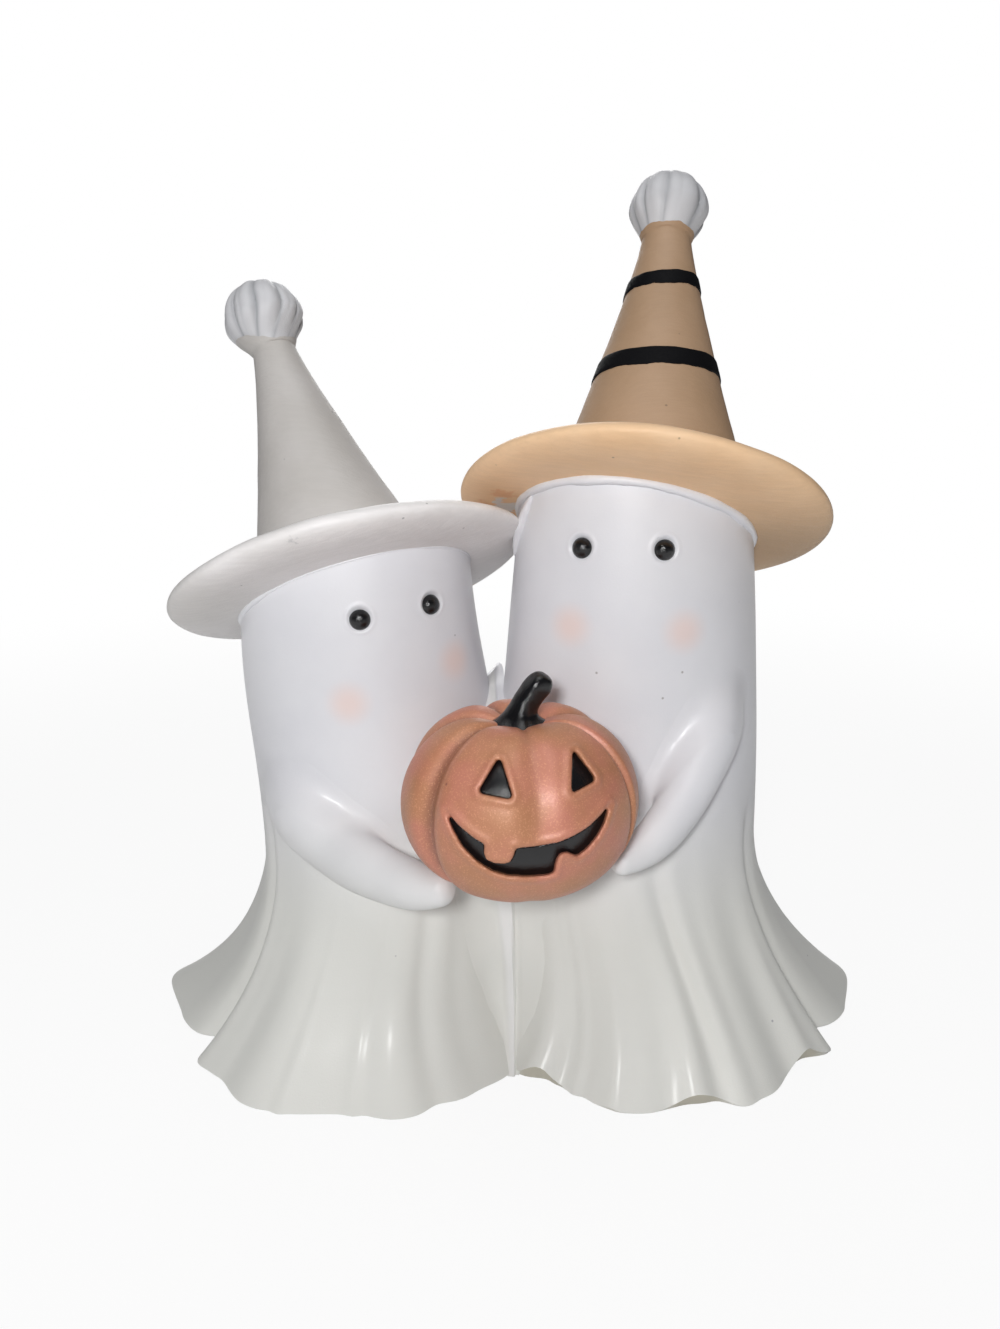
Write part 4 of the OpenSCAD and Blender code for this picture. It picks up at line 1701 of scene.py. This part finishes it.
        # Marks the seam's ridge, where the finish paints a highlight.
        mark(web, "thick", thick)
        return web

    def build(self, dresser: Dresser) -> None:
        """Makes and dresses the slip's pieces.

        Args:
            dresser: what dresses the pieces.
        """
        dresser.dress(self.crown_bead(self.tall, "tall_crown_slip", 1.15, 1.0), WHITE)
        dresser.dress(self.crown_bead(self.short, "short_crown_slip", 1.0, 0.25), WHITE)
        dresser.dress(self.contact_bead(), WHITE)
        dresser.dress(self.web(), WHITE)


@dataclass
class Pumpkin:
    """The carved pumpkin, the black glaze in its face, and its stem.

    The grooves' rows give an angle, a depth as a share of the radius, a width in degrees, and the share
    of the depth that is left in the lower half. The face's outlines are shares of the radius, seen
    along the axis of the face.
    """

    radius: float = 25.2
    height: float = 39.8
    centre: Triple = (0.0, -42.5, 75.2)
    end: float = 84.0
    grain: float = 0.35
    grooves: Rows = (
        (8.0, 0.06, 8.0, 0.3), (66.5, 0.2, 1.7, 1.0), (110.9, 0.11, 9.0, 1.0), (162.3, 0.11, 9.0, 1.0),
        (-146.3, 0.11, 9.0, 1.0), (-94.9, 0.1, 9.0, 1.0), (-50.5, 0.1, 6.5, 1.0),
    )
    face_pitch: float = 21.0
    carve_depth: float = 2.3
    lip_h: float = 0.32
    lip_w: float = 0.75
    glaze_depth: float = 1.5
    glaze_grain: float = 0.22
    eye_left: Outline = ((-0.16, 0.33), (-0.33, 0.045), (-0.055, -0.005))
    eye_right: Outline = ((0.4, 0.39), (0.375, 0.035), (0.585, 0.14))
    mouth: Outline = (
        (-0.58, -0.07), (-0.52, -0.22), (-0.44, -0.36), (-0.33, -0.47), (-0.22, -0.54), (-0.1, -0.575),
        (0.055, -0.585), (0.18, -0.58), (0.25, -0.56), (0.265, -0.47), (0.285, -0.42), (0.32, -0.4),
        (0.36, -0.4), (0.4, -0.42), (0.43, -0.43), (0.5, -0.38), (0.58, -0.29), (0.64, -0.19), (0.69, -0.03),
        (0.6, -0.13), (0.5, -0.215), (0.39, -0.275), (0.28, -0.32), (0.1, -0.35), (-0.04, -0.36),
        (-0.055, -0.42), (-0.08, -0.465), (-0.13, -0.48), (-0.2, -0.475), (-0.26, -0.45), (-0.28, -0.4),
        (-0.275, -0.33), (-0.35, -0.29), (-0.47, -0.195),
    )
    stem_r: float = 2.55
    stem_foot_r: float = 5.6
    stem_seat: float = 17.2
    stem_rings: int = 56
    stem_bend: float = 38.0
    stem_end: Triple = (5.8, 0.6, 9.3)

    def groove(self, angle: float, level: float) -> float:
        """Adds up the grooves between the lobes.

        Args:
            angle: angle round the pumpkin.
            level: height from -1 at the bottom to 1 at the top.

        Returns:
            Their depth as a share of the radius.
        """
        depth = 0.0
        for at, deep, width, low in self.grooves:
            fade = mix(low, 1.0, ease((level + 0.35) / 0.7))
            depth += deep * fade * bell(turn_between(angle, at), width)
        return depth

    def form(self, inset: float, steps: int, rings: int) -> Form:
        """Makes the pumpkin's lobed form.

        Args:
            inset: how far the form is moved in from the pumpkin's skin.
            steps: number of steps round it.
            rings: number of steps up it.

        Returns:
            The form's mesh.
        """
        centre = Vector(self.centre)
        profile = [(1.0, mix(-self.end, self.end, k / rings)) for k in range(rings + 1)]

        def place(angle: float, _radius: float, latitude: float) -> Vector:
            """Moves a point of an even column to the lobed form.

            Args:
                angle: angle round the pumpkin.
                latitude: angle above its middle.

            Returns:
                The point on the form.
            """
            up = math.radians(latitude)
            groove = self.groove(angle, math.sin(up))
            wide = math.cos(up) ** 0.8 * (1 - groove * math.cos(up / 1.6))
            dimple = 0.2 * bell(wide, 0.32)
            turn = math.radians(angle)
            reach = (self.radius - inset) * wide
            high = math.sin(up) * (1 - 0.6 * groove) - math.copysign(dimple, up)
            return centre + Vector(
                (reach * math.sin(turn), -reach * math.cos(turn), (self.height / 2 - inset) * high)
            )

        return moulded(profile, steps, place)

    def face_frame(self) -> Matrix:
        """Returns the frame of the carved face, whose Z axis looks out of the pumpkin's front."""
        return Matrix.Translation(self.centre) @ Matrix.Rotation(math.radians(90 - self.face_pitch), 4, "X")

    def prism(self, outlines: Sequence[Outline], name: str) -> Piece:
        """Makes straight prisms from the pumpkin's middle out through its face.

        Args:
            outlines: outlines in the face.
            name: the object's name.

        Returns:
            The prisms as one object.
        """
        frame = self.face_frame()
        shift = (frame.to_3x3() @ Vector((0, 0, 1))) * 1.6 * self.radius
        made = bmesh.new()
        for outline in outlines:
            corners = [made.verts.new(frame @ (Vector(point) * self.radius).to_3d()) for point in outline]
            top = bmesh.ops.extrude_face_region(made, geom=[made.faces.new(corners)])["geom"]
            bmesh.ops.translate(made, vec=shift, verts=[g for g in top if isinstance(g, bmesh.types.BMVert)])
        bmesh.ops.recalc_face_normals(made, faces=made.faces)
        return piece_from(made, name)

    @staticmethod
    def rounded(outline: Outline, bevel: float = 0.1) -> Outline:
        """Cuts the corners of an outline.

        Args:
            outline: the outline.
            bevel: share of each side that its two corners lose.

        Returns:
            The outline with two points for each corner.
        """
        points = []
        for k, (x, y) in enumerate(outline):
            nx, ny = outline[(k + 1) % len(outline)]
            points += [(mix(x, nx, share), mix(y, ny, share)) for share in (bevel, 1 - bevel)]
        return points

    def groove_shade_share(self, point: Vector) -> float:
        """Finds how much painted shade lies in the grooves at a point.

        Args:
            point: a point of the pumpkin's skin.

        Returns:
            A share from 0 to 1.
        """
        away = point - Vector(self.centre)
        depth = self.groove(math.degrees(math.atan2(away.x, -away.y)), away.z / (self.height / 2))
        return clamp(depth / 0.12) ** 1.5

    def make_shell(self) -> Piece:
        """Makes the pumpkin with its face carved in and softened.

        Returns:
            The pumpkin, marked with its grooves, which its finish darkens with painted shade.
        """
        shell = piece_from(self.form(0.0, 180, 96), "carved_pumpkin")
        core = piece_from(self.form(self.carve_depth, 112, 56), "core")
        outlines = [self.rounded(outline) for outline in (self.eye_left, self.eye_right, self.mouth)]
        tool = cut(self.prism(outlines, "carver"), core, Cut.AWAY)
        cut(shell, tool, Cut.AWAY)
        discard(tool, core)
        remeshed(shell, self.grain, 2)
        self.raise_lips(shell, outlines)
        # Marks the grooves, which the finish darkens with painted shade.
        mark(shell, "groove", self.groove_shade_share)
        return shell

    def raise_lips(self, shell: Piece, outlines: Sequence[Outline], cuts: int = 12) -> None:
        """Raises the clay that the carving tool pushed up round each opening.

        Args:
            shell: the carved pumpkin.
            outlines: outlines of the openings.
            cuts: number of marks on each side of an outline.
        """
        marks = [
            (mix(x, outline[k - 1][0], j / cuts), mix(y, outline[k - 1][1], j / cuts), 0.0)
            for outline in outlines for k, (x, y) in enumerate(outline) for j in range(cuts)
        ]
        rims = KDTree(len(marks))
        for k, at in enumerate(marks):
            rims.insert(at, k)
        rims.balance()
        to_face = self.face_frame().inverted()
        centre = Vector(self.centre)
        moves = []
        for vert in shell.data.vertices:
            local = to_face @ (vert.co / MM) / self.radius
            if local.z < 0.4 or abs(local.x) > 0.9:
                continue
            away = rims.find((local.x, local.y, 0.0))[2] * self.radius
            ray = (vert.co / MM - centre).normalized()
            outer = ease((vert.normal.dot(ray) - 0.35) / 0.3)
            moves.append((vert, ray * MM * self.lip_h * bell(away - self.lip_w, self.lip_w) * outer))
        for vert, move in moves:
            vert.co += move

    def make_glaze(self, outline: Outline, name: str) -> Piece:
        """Makes the black glaze that fills one carved outline to a level below its rim.

        Args:
            outline: the outline.
            name: the piece's name.

        Returns:
            The glaze.
        """
        glaze = self.prism([self.rounded(outline)], name)
        level = piece_from(self.form(self.glaze_depth, 112, 56), "glaze_level")
        floor = piece_from(self.form(self.carve_depth + 0.9, 112, 56), "glaze_floor")
        cut(glaze, level, Cut.SHARED)
        cut(glaze, floor, Cut.AWAY)
        discard(level, floor)
        return remeshed(glaze, self.glaze_grain, 2)

    def make_stem(self) -> Piece:
        """Makes the stem, which spreads over the pumpkin's top and bends to a blunt end.

        Returns:
            The stem.
        """
        seat = Vector(self.centre) + Vector((0, 0, self.stem_seat))
        rings = self.stem_rings
        profile = [(0.0, 0.0)] + [(1.0, k / rings) for k in range(rings)] + [(0.0, 1.0)]
        end_x, end_y, end_z = self.stem_end

        def place(angle: float, radius: float, run: float) -> Vector:
            """Moves a point of an even column to the bent stem.

            Args:
                angle: angle round the stem.
                radius: 1 on its outside and 0 on its axis.
                run: share of its length.

            Returns:
                The point on the stem.
            """
            turn = math.radians(angle)
            foot = math.exp(-9 * run)
            size = self.stem_r * (1 + 0.08 * run) * (1 - clamp((run - 0.72) / 0.28) ** 2.6) ** 0.45
            toes = 1 + 0.2 * math.cos(2 * turn) + 0.14 * math.cos(5 * turn + 0.8)
            size += (self.stem_foot_r - self.stem_r) * foot * toes
            size *= 1 + 0.05 * math.cos(4 * turn + 2 * run)
            lean = math.radians(self.stem_bend * ease(1.7 * run))
            centre = Vector((end_x * run**1.5, end_y * run, end_z * run))
            across = Vector((math.cos(turn) * math.cos(lean), math.sin(turn), -math.cos(turn) * math.sin(lean)))
            point = centre + across * (size * radius)
            point.z -= 0.8 * foot * radius
            return seat + point + across * 0.16 * wander(point, 2.2, 4.0)

        return piece_from(moulded(profile, 64, place), "fluted_stem", 80)

    def build(self, dresser: Dresser) -> None:
        """Makes and dresses the pumpkin's pieces.

        Args:
            dresser: what dresses the pieces.
        """
        dresser.dress(self.make_shell(), PUMPKIN, "pumpkin")
        for outline, node in (
            (self.eye_left, "pumpkin_eye_left"),
            (self.eye_right, "pumpkin_eye_right"),
            (self.mouth, "pumpkin_mouth"),
        ):
            dresser.dress(self.make_glaze(outline, f"{node}_glaze"), GLAZE, node)
        dresser.dress(self.make_stem(), GLAZE, "stem")


@dataclass(frozen=True)
class Lamp:
    """A soft square lamp that looks at the figure's middle, in metres and watts."""

    name: str
    at: Triple
    size: float
    power: float
    target: Triple = (0, 0, 0.1)

    def build(self) -> None:
        """Adds the lamp."""
        light = bpy.data.lights.new(self.name, "AREA")
        light.shape = "SQUARE"
        light.size = self.size
        light.energy = self.power
        lamp = bpy.data.objects.new(self.name, light)
        bpy.context.scene.collection.objects.link(lamp)
        lamp.location = self.at
        lamp.rotation_euler = (Vector(self.target) - Vector(self.at)).to_track_quat("-Z", "Y").to_euler()


@dataclass
class Studio:
    """Pale floor, white surround, soft lamps and the camera of the photograph, in metres."""

    frame_w: int = 1000
    frame_h: int = 1329
    sensor: float = 36.0
    camera_at: Triple = (-0.004, -0.24, 0.157)
    pitch: float = 15.0
    floor_size: float = 3000.0
    floor_drop: float = 0.00005
    room: float = 0.08
    lamps: tuple[Lamp, ...] = (
        Lamp("key_softbox", (-0.05, -0.37, 0.235), 0.05, 0.98),
        Lamp("top_softbox", (0.0, -0.15, 1.0), 0.6, 2.9),
        Lamp("back_softbox", (0.0, 1.0, 0.5), 0.6, 4.6),
    )

    def floor(self) -> None:
        """Makes the floor, which looks white and keeps the figure's shadow."""
        form = bmesh.new()
        bmesh.ops.create_grid(form, x_segments=1, y_segments=1, size=self.floor_size)
        floor = piece_from(form, "studio_floor")
        floor.location.z = -self.floor_drop
        material = bpy.data.materials.new("floor_white")
        graph = Graph.emptied(material)
        paper = graph.node("BsdfPrincipled", {"Base Color": (0.75, 0.75, 0.75, 1), "Roughness": 0.9})
        glow = graph.node("Emission", {"Color": (1, 1, 1, 1), "Strength": 1.0})
        where = graph.node("TexCoord").outputs["Object"]
        away = graph.node("VectorMath", {0: where}, operation="LENGTH").outputs["Value"]
        share = graph.math("MULTIPLY", self.seen(graph), graph.ranged(away, 0.2, 0.6, 0.9, 1.0))
        mixed = graph.node("MixShader", {0: share, 1: paper.outputs[0], 2: glow.outputs[0]})
        graph.node("OutputMaterial", {"Surface": mixed.outputs[0]})
        floor.data.materials.append(material)

    @staticmethod
    def seen(graph: Graph) -> Socket:
        """Tells the rays that see the white from those that light the figure.

        Args:
            graph: the floor's graph.

        Returns:
            1 for rays from the camera, from mirrors and through glass.
        """
        path = graph.node("LightPath").outputs
        direct = graph.math("MAXIMUM", path["Is Camera Ray"], path["Is Glossy Ray"])
        return graph.math("MAXIMUM", direct, path["Is Transmission Ray"])

    def surround(self) -> None:
        """Sets the even light of the room, and the white that the camera sees behind the figure."""
        world = bpy.data.worlds.new("studio_white")
        bpy.context.scene.world = world
        graph = Graph.emptied(world)
        room = graph.node("Background", {"Color": (0.93, 0.95, 1.0, 1), "Strength": self.room})
        white = graph.node("Background", {"Color": (1, 1, 1, 1), "Strength": 1.0})
        camera = graph.node("LightPath").outputs["Is Camera Ray"]
        mixed = graph.node("MixShader", {0: camera, 1: room.outputs[0], 2: white.outputs[0]})
        graph.node("OutputWorld", {"Surface": mixed.outputs[0]})

    def camera(self) -> None:
        """Adds the camera."""
        data = bpy.data.cameras.new("photo_camera")
        data.lens = self.frame_w * self.sensor / self.frame_h
        data.sensor_width = self.sensor
        data.clip_start = 0.01
        camera = bpy.data.objects.new("photo_camera", data)
        bpy.context.scene.collection.objects.link(camera)
        camera.location = self.camera_at
        camera.rotation_euler = (math.radians(90 - self.pitch), 0, 0)
        bpy.context.scene.camera = camera

    def build(self) -> None:
        """Sets up the stage."""
        bpy.context.scene.view_settings.view_transform = "Standard"
        self.floor()
        self.surround()
        for lamp in self.lamps:
            lamp.build()
        self.camera()


def blushed(form: GhostForm, name: str, stain_and_shade: Triple, pinholes: Outline) -> SlipFinish:
    """Makes the white slip with what only one ghost has.

    Args:
        form: the ghost's form, with its blushes.
        name: the finish's name.
        stain_and_shade: where the slip is painted darker brown in the corner between arm and pumpkin, partly a real
            mark and partly painted shade.
        pinholes: angle and height of each pinhole.

    Returns:
        The ghost's finish.
    """
    spots = [
        Spot(tuple(form.skin_at(angle, height) * MM), 6.6 * MM, (0.86, 0.56, 0.46))
        for angle, height in form.blushes
    ]
    # A brown patch in the corner between arm and pumpkin: partly a real mark, partly painted shade.
    spots.append(Spot(tuple(value * MM for value in stain_and_shade), 8.5 * MM, (0.42, 0.36, 0.25), 0.6, 0.95, 0.4))
    spots += [
        Spot(tuple(form.skin_at(angle, height) * MM), 0.36 * MM, (0.3, 0.28, 0.27), 0.75, 0.5)
        for angle, height in pinholes
    ]
    return replace(WHITE, name=name, coat_roughness=0.2, spots=tuple(spots))


def main() -> None:
    """Builds the figure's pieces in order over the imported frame."""
    logging.basicConfig(level=logging.INFO, format="%(name)s: %(message)s")
    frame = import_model()
    dresser = Dresser(frame)
    short = Ghost(
        "short", SHORT_FORM, blushed(SHORT_FORM, "short_white_slip", (-17.9, -58.0, 68.0), ()),
        arm_rows=(
            (64, 0.7, -1.3, 0.8), (50, 0.632, -0.82, 0.88), (34, 0.562, -0.4, 0.88), (13, 0.503, 0.05, 0.69),
            (-3.7, 0.488, 1.0, 0.56), (-13, 0.492, 1.85, 0.48), (-19, 0.502, 2.5, 0.28),
        ),
    )
    pinholes = ((7.4, 92.1), (15.6, 97.8), (-20.4, 97.5))
    tall = Ghost(
        "tall", TALL_FORM, blushed(TALL_FORM, "tall_white_slip", (31.0, -42.0, 80.5), pinholes),
        arm_rows=(
            (62, 0.78, -1.3, 0.78), (47, 0.712, -0.85, 0.82), (34, 0.645, -0.3, 0.72), (22, 0.585, 0.08, 0.6),
            (11.5, 0.53, 0.5, 0.49), (0.5, 0.487, 1.05, 0.4), (-9, 0.468, 1.6, 0.25),
        ),
    )
    short_hat = Hat(
        "short", SHORT_FORM, SHORT_BRIM, SHORT_CONE, brim_out=0.0, cone_out=1.8, cone_side=18.4, cone_r=22.0,
        cone_l=61.0, tip_r=5.4, droop=0.0, lobes=10, twist=60.0, paint_front=0.9, paint_sides=2.2,
        paint_slant=-1.6, uneven=0.6,
    )
    tall_hat = Hat(
        "tall", TALL_FORM, TALL_BRIM, TALL_CONE, brim_out=0.8, cone_out=2.2, cone_side=5.6, cone_r=24.5,
        cone_l=72.0, tip_r=6.2, droop=2.4, lobes=8, twist=16.0, paint_front=1.0, paint_sides=0.3,
        bands=(("tall_band_upper", 14.0, 4.2, 1.6, 1.1), ("tall_band_lower", 38.0, 5.2, 2.4, 1.0)),
    )
    for part in (short, tall, short_hat, tall_hat, Slip(SHORT_FORM, TALL_FORM), Pumpkin()):
        part.build(dresser)
    Studio().build()
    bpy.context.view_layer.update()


if __name__ == "__main__":
    main()
